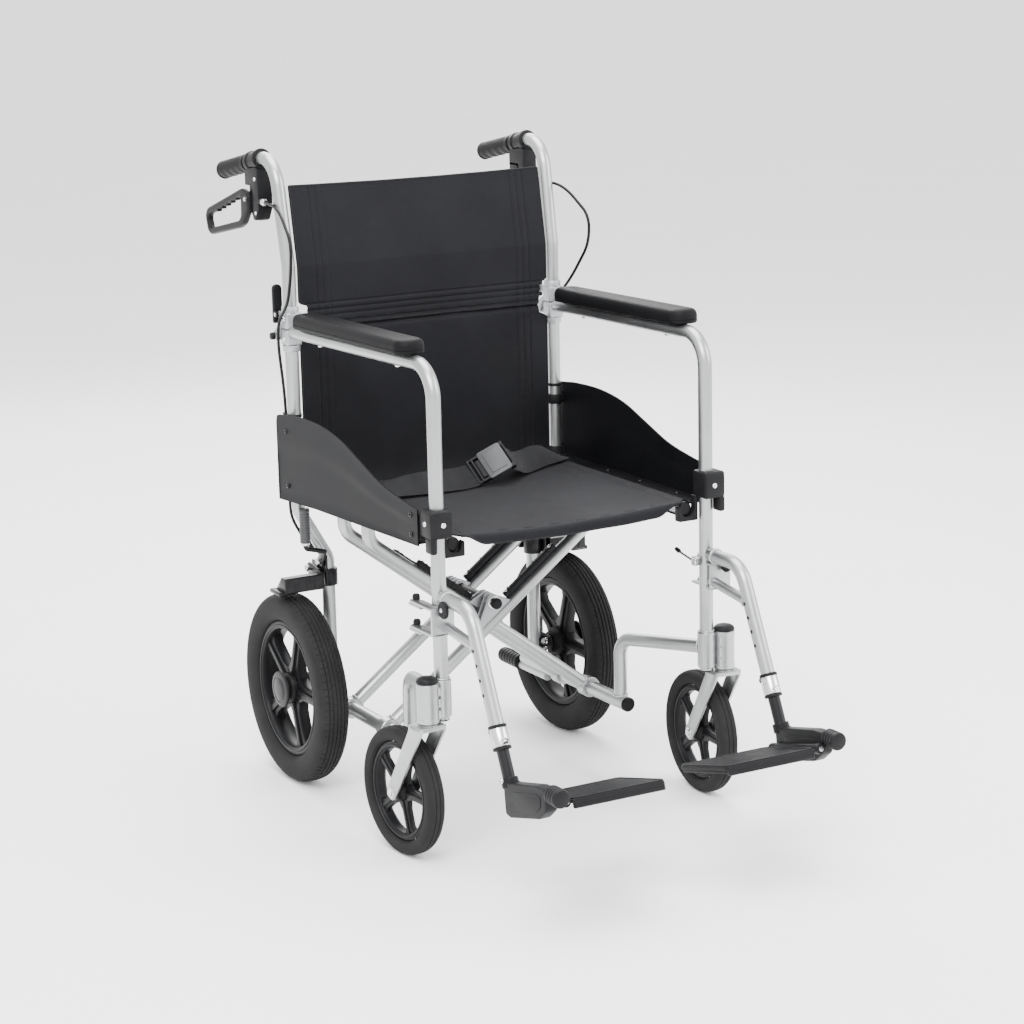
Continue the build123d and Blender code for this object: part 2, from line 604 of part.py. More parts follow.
def brake_cable(side):
    with BuildPart() as cable:
        with BuildLine() as path:
            FilletPolyline(*CABLE_ROUTE, radius=cable_radii(CABLE_ROUTE))
        with BuildSketch(Plane(origin=path.line @ 0, z_dir=path.line % 0)):
            Circle(CABLE_R)
        sweep(path=path.line)
        set_side(side)
    length = sum(edge.length for edge in path.edges())
    expected = length * pi * CABLE_R ** 2
    print("cable length", round(length, 1), "smallest bend",
          round(min(cable_radii(CABLE_ROUTE)), 1), "volume share",
          round(cable.part.volume / expected, 3))
    keep(cable, f"brake_cable_{side}")


def release_lever(side):
    pin_y = 314.0
    pin_z = HINGE_Z + 18
    with BuildPart() as lever:
        block((REAR_POST_X - 8, 319, HINGE_Z + 3), (REAR_POST_X + 8, 327, HINGE_Z + 58))
        rod((REAR_POST_X, 319, HINGE_Z + 58), (0, 1, 0), 8.0, 8)
        for low in (REAR_POST_X - 8, REAR_POST_X + 4.3):
            block((low, 309, pin_z - 5), (low + 3.7, 320, pin_z + 5))
        rod((REAR_POST_X - 9, pin_y, pin_z), (1, 0, 0), 3.0 + RUNNING_GAP, 18, Mode.SUBTRACT)
        set_side(side)
    keep(lever, f"release_lever_{side}")


# ---- wheel lock -------------------------------------------------------------

def lock_bracket(side):
    plate = [(250, 330), (250, 380), (262, 386), (306, 368), (306, 338), (290, 326)]
    with BuildPart() as bracket:
        rod((LOWER_POST_X, REAR_POST_Y, 326), (0, 0, 1), TUBE_R + 4.5, 28)
        side_plate(plate, LOCK_PLATE_X - 3, LOCK_PLATE_X)
        swept_tube(REAR_POST_PATH, FRAME_BEND_R, TUBE_R + 0.1, mode=Mode.SUBTRACT)
        rod((LOCK_PLATE_X - 1, LOCK_PIVOT_Y, LOCK_PIVOT_Z), (1, 0, 0), LOCK_PIN_R, 10)
        rod((LOCK_PLATE_X - 1, SHOE_PIVOT_Y, SHOE_PIVOT_Z), (1, 0, 0), LOCK_PIN_R, 16)
        set_side(side)
    keep(bracket, f"lock_bracket_{side}")


def lock_lever(side):
    low_x = LOCK_PLATE_X + 0.8
    arm = [(LOCK_PIVOT_Y - 8, LOCK_PIVOT_Z - 8), (LOCK_PIVOT_Y + 8, LOCK_PIVOT_Z - 8),
           (LOCK_PIVOT_Y + 8, LOCK_PIVOT_Z + 4), (252, 392), (240, 392)]
    with BuildPart() as lever:
        side_plate(arm, low_x, low_x + 4)
        swept_tube([(low_x + 2, 246, 389), (REAR_POST_X + 2, 246, 398), (REAR_POST_X + 2, 246, 410)],
                   6, 4.0)
        rod((REAR_POST_X + 2, 246, 408), (0, 0, 1), 9.0, 58)
        rod((low_x, LOCK_PIVOT_Y, LOCK_PIVOT_Z), (1, 0, 0), LOCK_PIN_R + RUNNING_GAP, 5,
            Mode.SUBTRACT)
        set_side(side)
    keep(lever, f"lock_lever_{side}")


def lock_shoe(side):
    low_x = LOCK_PLATE_X + 5.5
    arm = [(SHOE_PIVOT_Y - 9, SHOE_PIVOT_Z + 9), (SHOE_PIVOT_Y + 9, SHOE_PIVOT_Z + 9),
           (SHOE_PIVOT_Y + 9, SHOE_PIVOT_Z - 9), (262, 328), (246, 328), (246, 352)]
    bar = [(246, 326), (246, 352), (262, 352), (282, 330), (282, 324)]
    foot = [(252, 322), (252, 329), (292, 329), (292, 322)]
    with BuildPart() as shoe:
        side_plate(arm, low_x, low_x + 4)
        side_plate(bar, low_x, 284)
        side_plate(foot, 262, 292)
        rod((low_x, SHOE_PIVOT_Y, SHOE_PIVOT_Z), (1, 0, 0), LOCK_PIN_R + RUNNING_GAP, 5,
            Mode.SUBTRACT)
        set_side(side)
    keep(shoe, f"lock_shoe_{side}")


# ---- footrest ---------------------------------------------------------------

HANGER_RUN = Vector(0, HANGER_END_Y - HANGER_CORNER_Y, HANGER_END_Z - HANGER_TOP_Z).normalized()


def hanger_point(distance):
    """Point on the hanger's lower run, measured down from its corner."""
    return Vector(FRONT_X, HANGER_CORNER_Y, HANGER_TOP_Z) + HANGER_RUN * distance


def hanger(side):
    collar_length = 28.0
    full = hypot(HANGER_END_Y - HANGER_CORNER_Y, HANGER_END_Z - HANGER_TOP_Z)
    front_y = FRONT_Y - TUBE_R - 2.5
    with BuildPart() as arm:
        swept_tube([(FRONT_X, front_y, HANGER_TOP_Z), (FRONT_X, HANGER_CORNER_Y, HANGER_TOP_Z),
                    (FRONT_X, HANGER_END_Y, HANGER_END_Z)],
                   HANGER_BEND_R, TUBE_R, TUBE_R - TUBE_WALL)
        swept_tube([(FRONT_X, front_y - 4, 374), (FRONT_X, -316, 362)], 0, 8.0)
        rod(hanger_point(full - collar_length), HANGER_RUN, TUBE_R + 2.5, collar_length)
        rod(hanger_point(full - 14), (0, 1, 0.2), 7.0, 24)
        for level in PEG_LEVELS:
            low = level + TAB_THICK + 0.3
            block((226, front_y - 14, low), (PEG_X + 9, front_y, low + 4))
            block((FRONT_X + TUBE_R + 1.5, front_y - 14, low), (PEG_X + 9, PEG_Y + 9, low + 4))
            rod((PEG_X, PEG_Y, low), (0, 0, 1), PEG_R + RUNNING_GAP, 4, Mode.SUBTRACT)
        block((226, front_y - 14, PEG_LEVELS[1] + 4.3), (PEG_X + 9, front_y - 10, PEG_LEVELS[0] + 8.3))
        rod((FRONT_X + TUBE_R - 2, -240, 402), (1, 0, 0), 13.0, 6)
        rod(hanger_point(40), HANGER_RUN, 9.4, full, Mode.SUBTRACT)
        set_side(side)
    keep(arm, f"hanger_{side}")


def hanger_latch(side):
    with BuildPart() as latch:
        block((212, FRONT_Y - 6, 398), (216.6, FRONT_Y + 6, 409))
        swept_tube([(214.3, FRONT_Y + 3, 405), (212, FRONT_Y + 48, 415)], 0, 2.0)
        rod((211, FRONT_Y, 403), (1, 0, 0), 3.0 + RUNNING_GAP, 8, Mode.SUBTRACT)
        set_side(side)
    keep(latch, f"hanger_latch_{side}")


def foot_axis():
    tilt = radians(FOOT_TILT)
    return Vector(0, -cos(tilt), sin(tilt))


def foot_hinge_point(distance):
    start = Vector(FOOT_HINGE_X, FOOT_HINGE_REAR_Y, FOOT_HINGE_REAR_Z)
    return start + foot_axis() * distance


def footrest_stem(side):
    full = hypot(HANGER_END_Y - HANGER_CORNER_Y, HANGER_END_Z - HANGER_TOP_Z)
    bracket = [(-404, 188), (-410, 138), (-424, 136), (-506, 158), (-528, 176), (-528, 208),
               (-500, 206), (-424, 188)]
    with BuildPart() as stem:
        rod(hanger_point(full - 62), HANGER_RUN, 9.35, 62 + 74)
        side_plate(bracket, FRONT_X - 10.5, FRONT_X + 10.5)
        rod((FRONT_X, -557, 200), (0, 1, 0), 14.0, 31)
        for near, far in ((0, 12), (118, 130)):
            start = foot_hinge_point(near)
            rod(start, foot_axis(), 8.0, far - near)
            corner = foot_hinge_point((near + far) / 2)
            block((FOOT_HINGE_X, corner.Y - 5, corner.Z - 5), (FRONT_X, corner.Y + 5, corner.Z + 5))
        rod(foot_hinge_point(0), foot_axis(), 4.0, 130)
        set_side(side)
    keep(stem, f"footrest_stem_{side}")


def footplate(side):
    normal = Vector(0, sin(radians(FOOT_TILT)), cos(radians(FOOT_TILT)))
    start = foot_hinge_point(-4)
    width = FOOT_HINGE_X - 9 - FOOT_INNER_X
    with BuildPart() as plate:
        base = start - normal * (FOOT_THICK / 2)
        plate_plane = Plane(origin=base, x_dir=(-1, 0, 0), z_dir=normal)
        with BuildSketch(plate_plane):
            with Locations((9 + width / 2, FOOT_DEPTH / 2)):
                RectangleRounded(width, FOOT_DEPTH, 6)
        extrude(amount=FOOT_THICK)
        with BuildSketch(Plane(origin=foot_hinge_point(12.4), z_dir=foot_axis())):
            Circle(7.5)
        extrude(amount=105.2)
        web = foot_hinge_point(12.4)
        with BuildSketch(Plane(origin=web, x_dir=(-1, 0, 0), z_dir=foot_axis())):
            with Locations((8, 0)):
                Rectangle(16, FOOT_THICK)
        extrude(amount=105.2)
        rod(foot_hinge_point(5), foot_axis(), 4.0 + RUNNING_GAP, 120, Mode.SUBTRACT)
        set_side(side)
    keep(plate, f"footplate_{side}")


# ---- fabric -----------------------------------------------------------------

def fabric():
    seat_half = BRACE_TOP_X + TUBE_R
    seat_z = SEAT_RAIL_Z + TUBE_R + 0.3
    with BuildPart() as seat:
        block((-seat_half, SEAT_RAIL_FRONT_Y - 5, seat_z), (seat_half, SEAT_RAIL_REAR_Y, seat_z + FABRIC))
    keep(seat, "seat_sling")
    with BuildPart() as lower:
        block((-BACK_HALF_X, REAR_POST_Y - FABRIC, seat_z + FABRIC + 2),
              (BACK_HALF_X, REAR_POST_Y, HINGE_Z - 2))
    keep(lower, "back_lower")
    lean = (HANDLE_CORNER_Y - REAR_POST_Y) / (HANDLE_CORNER_Z - LEAN_Z)
    top_z = 984.0
    top_y = REAR_POST_Y + lean * (top_z - LEAN_Z)
    outline = [(REAR_POST_Y - FABRIC, HINGE_Z + 3), (REAR_POST_Y - FABRIC, LEAN_Z),
               (top_y - FABRIC, top_z), (top_y, top_z), (REAR_POST_Y, LEAN_Z),
               (REAR_POST_Y, HINGE_Z + 3)]
    with BuildPart() as upper:
        side_plate(outline, -BACK_HALF_X, BACK_HALF_X)
    keep(upper, "back_upper")
    belt_z = seat_z + FABRIC + 0.4
    buckle_lean = [(98, belt_z), (111, belt_z), (142, belt_z + 31), (133, belt_z + 40)]
    with BuildPart() as belt:
        block((64, 132, belt_z), (212, 172, belt_z + 2))
        block((-212, 84, belt_z), (-4, 124, belt_z + 2))
    keep(belt, "seat_belt")
    with BuildPart() as buckle:
        side_plate(buckle_lean, -2, 62)
    keep(buckle, "belt_buckle")


for side in SIDES:
    side_frame(side)
    rear_post(side)
    pivot_tube(side)
    end_caps(side)
    armrest_pad(side)
    side_panel(side)
    seat_cradle(side)
    rear_wheel(side)
    caster(side)
    handle_tube(side)
    push_grip(side)
    brake_housing(side)
    brake_lever(side)
    brake_cable(side)
    release_lever(side)
    lock_bracket(side)
    lock_lever(side)
    lock_shoe(side)
    hanger(side)
    hanger_latch(side)
    footrest_stem(side)
    footplate(side)
braces()
fabric()
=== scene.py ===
import bmesh
import bpy
from math import atan2, ceil, cos, exp, pi, radians, sin, tan
from mathutils import Matrix, Vector, noise


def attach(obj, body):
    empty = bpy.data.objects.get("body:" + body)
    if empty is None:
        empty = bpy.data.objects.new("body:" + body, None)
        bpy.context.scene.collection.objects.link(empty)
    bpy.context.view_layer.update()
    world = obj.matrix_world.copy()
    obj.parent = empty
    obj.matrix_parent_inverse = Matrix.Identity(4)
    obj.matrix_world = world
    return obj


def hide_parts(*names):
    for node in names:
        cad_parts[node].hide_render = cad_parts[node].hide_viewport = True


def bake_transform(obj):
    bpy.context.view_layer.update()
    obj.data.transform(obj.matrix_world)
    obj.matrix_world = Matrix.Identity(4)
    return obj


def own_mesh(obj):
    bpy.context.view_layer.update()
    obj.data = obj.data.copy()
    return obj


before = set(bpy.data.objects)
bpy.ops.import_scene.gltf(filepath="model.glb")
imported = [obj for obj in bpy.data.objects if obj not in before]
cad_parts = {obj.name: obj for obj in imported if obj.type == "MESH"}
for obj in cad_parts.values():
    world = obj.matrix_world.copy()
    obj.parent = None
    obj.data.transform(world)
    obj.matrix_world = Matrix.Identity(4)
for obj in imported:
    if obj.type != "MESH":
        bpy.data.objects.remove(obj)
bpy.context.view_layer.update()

SIDES = ("right", "left")
MM = 0.001

# Main dimensions in metres, on the left side
TUBE_R = 0.011
FRONT_X = 0.2365
FRONT_Y = -0.203
ARM_FRONT_Z = 0.760
ARM_REAR_X = 0.243
ARM_REAR_Y = 0.2586
ARM_REAR_Z = 0.752
HOUSING_X = 0.2646
HOUSING_Y = -0.2105
REAR_X = 0.256
REAR_Y = 0.281
REAR_R = 0.158
CASTER_R = 0.100
CASTER_TRAIL = 0.077
CASTER_YAW = radians(4.5)
POST_X = 0.243
POST_Y = 0.273
HINGE_Z = 0.7565
PIN_Y = 0.310
PIN_Z = 0.741
HINGE_IN_X = 0.2296
HINGE_OUT_X = 0.2564
HINGE_FRONT_Y = 0.2590
HINGE_REAR_Y = 0.2835
PIVOT_X = 0.194
PIVOT_Z = 0.131
CENTRE_Z = 0.312
BRACE_TOP_X = 0.205
BRACE_TOP_Z = 0.434
SEAT_RAIL_Z = 0.488
BRACE_A_YS = (0.094, 0.181)
BRACE_B_YS = (0.070, 0.205)
FOOT_TILT = radians(14.7)
BACK_HALF_X = 0.2275
TUBE_BORE = 0.0094
COLLAR_BORE = 0.0112
RAIL_ENDS = (-0.190, 0.235)
PEG_X = 0.255
PEG_Y = -0.165
PEG_LEVELS = (0.357, 0.396)

# Directions; every pair is drawn on the left side, at +X, and mirrored for the right
OUT = (1, 0, 0)
IN = (-1, 0, 0)
REAR = (0, 1, 0)
FRONT = (0, -1, 0)
UP = (0, 0, 1)
DOWN = (0, 0, -1)

# Longest step along a tube's bend in metres, its largest turn in radians, and the steps in a pad's corner
ARC_STEP = 0.006
ARC_TURN = 0.13
STADIUM_STEPS = 12


# ---- mesh tools -------------------------------------------------------------

class Shape:
    """Vertices and faces gathered from several simple forms."""

    def __init__(self):
        self.verts = []
        self.faces = []

    def add(self, verts, faces):
        base = len(self.verts)
        self.verts.extend(Vector(v) for v in verts)
        self.faces.extend([base + i for i in face] for face in faces)
        return self

    def put(self, other, at, turn=Matrix.Identity(3)):
        """Adds another shape, turned and then moved."""
        return self.add([Vector(at) + turn @ v for v in other.verts], other.faces)

    def add_bmesh(self, form):
        form.verts.index_update()
        self.add([v.co.copy() for v in form.verts], [[v.index for v in f.verts] for f in form.faces])
        form.free()
        return self


def ring_point(turn, radius, number, sides, height=0.0):
    """A point of a round section around the turn's Z axis, raised along it by the height."""
    a = 2 * pi * number / sides
    return turn @ Vector((radius * cos(a), radius * sin(a), height))


def wall_faces(rings, sides):
    """Faces between round sections that follow each other."""
    faces = []
    for i in range(rings - 1):
        for k in range(sides):
            n = (k + 1) % sides
            faces.append([i * sides + k, i * sides + n, (i + 1) * sides + n, (i + 1) * sides + k])
    return faces


def end_faces(rings, sides):
    """The two flat ends of such sections."""
    last = (rings - 1) * sides
    return [list(range(sides))[::-1], [last + k for k in range(sides)]]


def wrapped_faces(around, across):
    """Faces of a section that goes all the way round."""
    faces = []
    for i in range(around):
        for j in range(across):
            n, m = (i + 1) % around, (j + 1) % across
            faces.append([i * across + j, n * across + j, n * across + m, i * across + m])
    return faces


def sheet_faces(columns, rows):
    """Faces of a closed sheet: a front grid of points, then a back one, and the edges between them."""
    line = rows + 1
    total = (columns + 1) * line
    faces = []
    for i in range(columns):
        for j in range(rows):
            a, b = i * line + j, (i + 1) * line + j
            faces.append([a, b, b + 1, a + 1])
            faces.append([total + a, total + a + 1, total + b + 1, total + b])
    for i in range(columns):
        for j in (0, rows):
            a, b = i * line + j, (i + 1) * line + j
            faces.append([a, total + a, total + b, b])
    for i in (0, columns):
        for j in range(rows):
            a = i * line + j
            faces.append([a, a + 1, total + a + 1, total + a])
    return faces


def frame_from(direction, hint=UP):
    """Rotation whose Z column is the direction."""
    z = Vector(direction).normalized()
    x = Vector(hint).cross(z)
    if x.length < 1e-4:
        x = Vector(OUT).cross(z)
        if x.length < 1e-4:
            x = Vector(REAR).cross(z)
    x.normalize()
    y = z.cross(x)
    return Matrix((x, y, z)).transposed()


def rounded_path(points, radius):
    """Points along straight runs joined by arcs of one radius, or of a radius for each corner."""
    points = [Vector(p) for p in points]
    corners = len(points) - 2
    radii = radius if hasattr(radius, "__len__") else [radius] * corners
    path = [points[0]]
    for number in range(corners):
        before, here, after = points[number:number + 3]
        into = (here - before).normalized()
        out = (after - here).normalized()
        turn = into.angle(out)
        reach = radii[number] * tan(turn / 2)
        start = here - into * reach
        centre_way = (out - into).normalized()
        centre = here + centre_way * (radii[number] / cos(turn / 2))
        axis = into.cross(out).normalized()
        count = max(3, int(ceil(turn * radii[number] / ARC_STEP)), int(ceil(turn / ARC_TURN)))
        for i in range(count + 1):
            path.append(centre + Matrix.Rotation(turn * i / count, 3, axis) @ (start - centre))
    path.append(points[-1])
    return path


def tube(shape, points, radius, bend=0.0, sides=32, bore=0.0):
    """A round tube along a path; with a bore its ends show the wall."""
    path = rounded_path(points, bend) if len(points) > 2 else [Vector(p) for p in points]
    rings = []
    turned = None
    for i, point in enumerate(path):
        if i == 0:
            way = path[1] - path[0]
        elif i == len(path) - 1:
            way = path[-1] - path[-2]
        else:
            way = (path[i + 1] - point).normalized() + (point - path[i - 1]).normalized()
        way.normalize()
        if turned is None:
            turned = frame_from(way)
        else:
            turned = turned.col[2].rotation_difference(way).to_matrix() @ turned
        rings.append((point, turned.copy()))
    verts = [point + ring_point(turn, radius, k, sides) for point, turn in rings for k in range(sides)]
    faces = wall_faces(len(rings), sides)
    if bore == 0:
        return shape.add(verts, faces + end_faces(len(rings), sides))
    last = (len(rings) - 1) * sides
    depth = min(0.02, (path[1] - path[0]).length * 0.9 + 0.001)
    for end, (point, turn) in ((0, rings[0]), (last, rings[-1])):
        inward = turn.col[2] * (depth if end == 0 else -depth)
        base = len(verts)
        for shift in (Vector((0, 0, 0)), inward):
            verts += [point + shift + ring_point(turn, bore, k, sides) for k in range(sides)]
        for k in range(sides):
            n = (k + 1) % sides
            lip = [end + k, base + k, base + n, end + n]
            wall = [base + k, base + sides + k, base + sides + n, base + n]
            faces.append(lip if end == 0 else lip[::-1])
            faces.append(wall if end == 0 else wall[::-1])
        floor = [base + sides + k for k in range(sides)]
        faces.append(floor[::-1] if end == 0 else floor)
    return shape.add(verts, faces)


def lathe(shape, origin, direction, profile, sides=64):
    """Turns (radius, height) pairs about an axis; a radius of 0 closes the form."""
    turn = frame_from(direction)
    origin = Vector(origin)
    verts = []
    rows = []
    for radius, height in profile:
        if radius < 1e-6:
            rows.append([len(verts)] * sides)
            verts.append(origin + turn @ Vector((0, 0, height)))
        else:
            rows.append(list(range(len(verts), len(verts) + sides)))
            verts += [origin + ring_point(turn, radius, k, sides, height) for k in range(sides)]
    faces = []
    for low, high in zip(rows, rows[1:]):
        for k in range(sides):
            n = (k + 1) % sides
            face = []
            for index in (low[k], low[n], high[n], high[k]):
                if index not in face:
                    face.append(index)
            if len(face) > 2:
                faces.append(face)
    return shape.add(verts, faces)


def band(shape, origin, direction, inner, outer, length, sides):
    """A plain round bar, or a sleeve where the inner radius is not 0."""
    return lathe(shape, origin, direction, [(inner, 0), (outer, 0), (outer, length), (inner, length)],
                 sides)


def box(shape, low, high, bevel=0.0015, segments=3):
    """A box with rounded edges."""
    form = bmesh.new()
    bmesh.ops.create_cube(form, size=1.0)
    low, high = Vector(low), Vector(high)
    size, middle = high - low, (low + high) / 2
    for v in form.verts:
        v.co = Vector(c * s for c, s in zip(v.co, size)) + middle
    if bevel > 0:
        bmesh.ops.bevel(form, geom=form.edges[:], offset=bevel, segments=segments, profile=0.5,
                        affect="EDGES", clamp_overlap=True)
    return shape.add_bmesh(form)


def plate(shape, outline, low, high, axis="x", bevel=0.0012, holes=(), segments=2):
    """A flat plate from an outline, square to one axis, with rounded rims."""
    form = bmesh.new()

    def place(pair, level):
        a, b = pair
        return {"x": (level, a, b), "y": (a, level, b), "z": (a, b, level)}[axis]

    loops = [outline] + list(holes)
    rims = []
    edges = []
    for loop in loops:
        ring = [form.verts.new(place(p, low)) for p in loop]
        rims.append(ring)
        for i, v in enumerate(ring):
            edges.append(form.edges.new((v, ring[(i + 1) % len(ring)])))
    bmesh.ops.triangle_fill(form, edges=edges, use_beauty=True)
    bmesh.ops.dissolve_limit(form, angle_limit=0.01, verts=form.verts, edges=form.edges)
    bottom = form.faces[:]
    made = bmesh.ops.extrude_face_region(form, geom=bottom)
    moved = [g for g in made["geom"] if isinstance(g, bmesh.types.BMVert)]
    shift = {"x": (high - low, 0, 0), "y": (0, high - low, 0), "z": (0, 0, high - low)}[axis]
    bmesh.ops.translate(form, verts=moved, vec=shift)
    bmesh.ops.recalc_face_normals(form, faces=form.faces[:])
    if bevel > 0:
        index = "xyz".index(axis)
        rim_edges = [e for e in form.edges
                     if abs(e.verts[0].co[index] - e.verts[1].co[index]) < 1e-7
                     and len(e.link_faces) == 2 and e.calc_face_angle(0) > 0.5]
        bmesh.ops.bevel(form, geom=rim_edges, offset=bevel, segments=segments, profile=0.5, affect="EDGES",
                        clamp_overlap=True)
    return shape.add_bmesh(form)


def rounded_outline(points, radius, step=0.35):
    """A closed outline with its corners rounded."""
    result = []
    count = len(points)
    for i in range(count):
        before, here, after = (Vector((*points[(i + d) % count], 0)) for d in (-1, 0, 1))
        corner = radius[i] if hasattr(radius, "__len__") else radius
        into, out = (here - before), (after - here)
        turn = into.angle(out)
        if corner < 1e-6 or turn < 0.05:
            result.append((here.x, here.y))
            continue
        reach = min(corner * tan(turn / 2), 0.48 * into.length, 0.48 * out.length)
        used = reach / tan(turn / 2)
        start = here - into.normalized() * reach
        way = (out.normalized() - into.normalized()).normalized()
        centre = here + way * (used / cos(turn / 2))
        side = 1 if into.cross(out).z > 0 else -1
        steps = max(2, int(ceil(turn / step)))
        for k in range(steps + 1):
            p = centre + Matrix.Rotation(side * turn * k / steps, 3, "Z") @ (start - centre)
            result.append((p.x, p.y))
    return result


def bolt(shape, at, direction, radius=0.004, height=0.0028, kind="dome"):
    """A screw or bolt head standing on a face."""
    if kind == "dome":
        profile = [(0, 0), (radius, 0), (radius, height * 0.35), (radius * 0.86, height * 0.75),
                   (radius * 0.5, height), (radius * 0.42, height), (radius * 0.36, height * 0.55),
                   (0, height * 0.5)]
        return lathe(shape, at, direction, profile, sides=20)
    turn = frame_from(direction)
    lathe(shape, at, direction,
          [(0, 0), (radius * 1.35, 0), (radius * 1.35, height * 0.22), (radius * 1.28, height * 0.28),
           (0, height * 0.28)], sides=24)
    form = bmesh.new()
    bmesh.ops.create_cone(form, cap_ends=True, segments=6, radius1=radius, radius2=radius, depth=height)
    bmesh.ops.bevel(form, geom=form.edges[:], offset=radius * 0.1, segments=2, profile=0.5, affect="EDGES")
    for v in form.verts:
        v.co = Vector(at) + turn @ (v.co + Vector((0, 0, height * 0.5)))
    return shape.add_bmesh(form)


def torus_weld(shape, at, direction, radius, thickness=0.0016, seed=0):
    """A bead of weld around a joint, a little uneven."""
    turn = frame_from(direction)
    around, across = 56, 8
    verts = []
    for i in range(around):
        a = 2 * pi * i / around
        swell = thickness * (1 + 0.22 * sin(a * 17 + seed) + 0.1 * sin(a * 7 + 2 * seed))
        for j in range(across):
            b = 2 * pi * j / across
            r = radius + swell * cos(b)
            verts.append(Vector(at) + turn @ Vector((r * cos(a), r * sin(a), swell * sin(b))))
    return shape.add(verts, wrapped_faces(around, across))


def finish_piece(shape, name, material, body=None, side=None, smooth=35, node=None):
    """Makes the object, mirrored for the right side, and says its body and the node it shows."""
    name = name.replace(" ", "-")
    mesh = bpy.data.meshes.new(name)
    verts = shape.verts
    faces = shape.faces
    if side == "right":
        verts = [Vector((-v.x, v.y, v.z)) for v in verts]
        faces = [face[::-1] for face in faces]
    mesh.from_pydata([tuple(v) for v in verts], [], faces)
    mesh.update()
    form = bmesh.new()
    form.from_mesh(mesh)
    bmesh.ops.remove_doubles(form, verts=form.verts[:], dist=1e-7)
    bmesh.ops.recalc_face_normals(form, faces=form.faces[:])
    form.to_mesh(mesh)
    form.free()
    mesh.polygons.foreach_set("use_smooth", [True] * len(mesh.polygons))
    mesh.set_sharp_from_angle(angle=radians(smooth))
    mesh.materials.append(material)
    piece = bpy.data.objects.new(name, mesh)
    bpy.context.scene.collection.objects.link(piece)
    if body:
        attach(piece, body)
    if node:
        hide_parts(node)
    return piece


def side_piece(shape, name, material, body, side, smooth=35, node=None):
    """One of a pair: the side ends its name, its body and its node."""
    body = body and f"{body}_{side}"
    node = node and f"{node}_{side}"
    return finish_piece(shape, f"{name} {side}", material, body, side, smooth, node)


# ---- materials --------------------------------------------------------------

def set_inputs(node, values):
    for key, value in values.items():
        node.inputs[key].default_value = value


def surface(name, dark, light, roughness, metallic=0.0, grain=300.0, bump=0.1, patch=9.0,
            sheen=0.0, coat=0.0, weave=0.0, specular=0.5):
    """A procedural surface: two close tones, uneven gloss, and a fine relief or a weave."""
    made = bpy.data.materials.new(name)
    made.use_nodes = True
    nodes, links = made.node_tree.nodes, made.node_tree.links

    def node(kind, **inputs):
        new = nodes.new(f"ShaderNode{kind}")
        set_inputs(new, inputs)
        return new

    shader = nodes["Principled BSDF"]
    set_inputs(shader,
               {"Metallic": metallic, "Specular IOR Level": specular, "Sheen Weight": sheen,
                "Sheen Roughness": 0.45, "Coat Weight": coat, "Coat Roughness": 0.12})
    where = node("TexCoord")
    cloud = node("TexNoise", Scale=patch, Detail=5.0, Roughness=0.62)
    links.new(where.outputs["Object"], cloud.inputs["Vector"])
    tones = node("ValToRGB")
    for element, position, tone in zip(tones.color_ramp.elements, (0.32, 0.68), (dark, light)):
        element.position = position
        element.color = (*tone, 1)
    links.new(cloud.outputs["Fac"], tones.inputs["Fac"])
    links.new(tones.outputs["Color"], shader.inputs["Base Color"])
    fine = node("TexNoise", Scale=grain, Detail=3.0)
    links.new(where.outputs["Object"], fine.inputs["Vector"])
    gloss = node("MapRange")
    set_inputs(gloss, {"To Min": max(0.03, roughness - 0.07), "To Max": min(1.0, roughness + 0.07)})
    links.new(cloud.outputs["Fac"], gloss.inputs["Value"])
    links.new(gloss.outputs["Result"], shader.inputs["Roughness"])
    relief = node("Bump", Strength=bump, Distance=0.0006)
    height = fine.outputs["Fac"]
    if weave > 0:
        threads = []
        for direction in ("X", "Y", "Z"):
            threads.append(node("TexWave", Scale=weave, Distortion=0.6, Detail=1.0))
            threads[-1].bands_direction = direction
            links.new(where.outputs["Object"], threads[-1].inputs["Vector"])
        total = threads[0].outputs["Fac"]
        for extra in threads[1:] + [fine]:
            both = node("Math")
            both.operation = "ADD"
            links.new(total, both.inputs[0])
            links.new(extra.outputs["Fac"], both.inputs[1])
            total = both.outputs["Value"]
        height = total
    links.new(height, relief.inputs["Height"])
    links.new(relief.outputs["Normal"], shader.inputs["Normal"])
    return made


PAINT = surface("silver paint", (0.33, 0.335, 0.34), (0.40, 0.405, 0.41), 0.36, 0.94, grain=1400, bump=0.05,
                coat=0.25)
STEEL = surface("bright steel", (0.60, 0.60, 0.61), (0.70, 0.70, 0.71), 0.20, 1.0, grain=900, bump=0.05)
WELD = surface("weld", (0.40, 0.40, 0.41), (0.52, 0.52, 0.53), 0.38, 0.85, grain=700, bump=0.3)
GREY_CAST = surface("grey cast hinge", (0.30, 0.31, 0.32), (0.37, 0.38, 0.39), 0.42, 0.6, grain=900,
                    bump=0.15)
DARK_STEEL = surface("black enamel", (0.006, 0.006, 0.007), (0.011, 0.011, 0.012), 0.34, 0.2, grain=900,
                     bump=0.1, coat=0.1, specular=0.16)
BLACK = surface("black plastic", (0.0055, 0.0055, 0.006), (0.0095, 0.0095, 0.0105), 0.44, grain=1500,
                bump=0.18, specular=0.12)
PANEL = surface("panel plastic", (0.0040, 0.0040, 0.0048), (0.0062, 0.0062, 0.0074), 0.44, grain=1300,
                bump=0.12, specular=0.06)
PAD = surface("pad skin", (0.0045, 0.0045, 0.0050), (0.0072, 0.0072, 0.0080), 0.50, grain=1100, bump=0.3,
              specular=0.07)
WHEEL = surface("wheel plastic", (0.0050, 0.0050, 0.0055), (0.0085, 0.0085, 0.0095), 0.38, grain=1200,
                bump=0.1, specular=0.12)
HUB = surface("hub cap", (0.013, 0.013, 0.014), (0.019, 0.019, 0.020), 0.42, grain=1000, bump=0.1,
              specular=0.14)
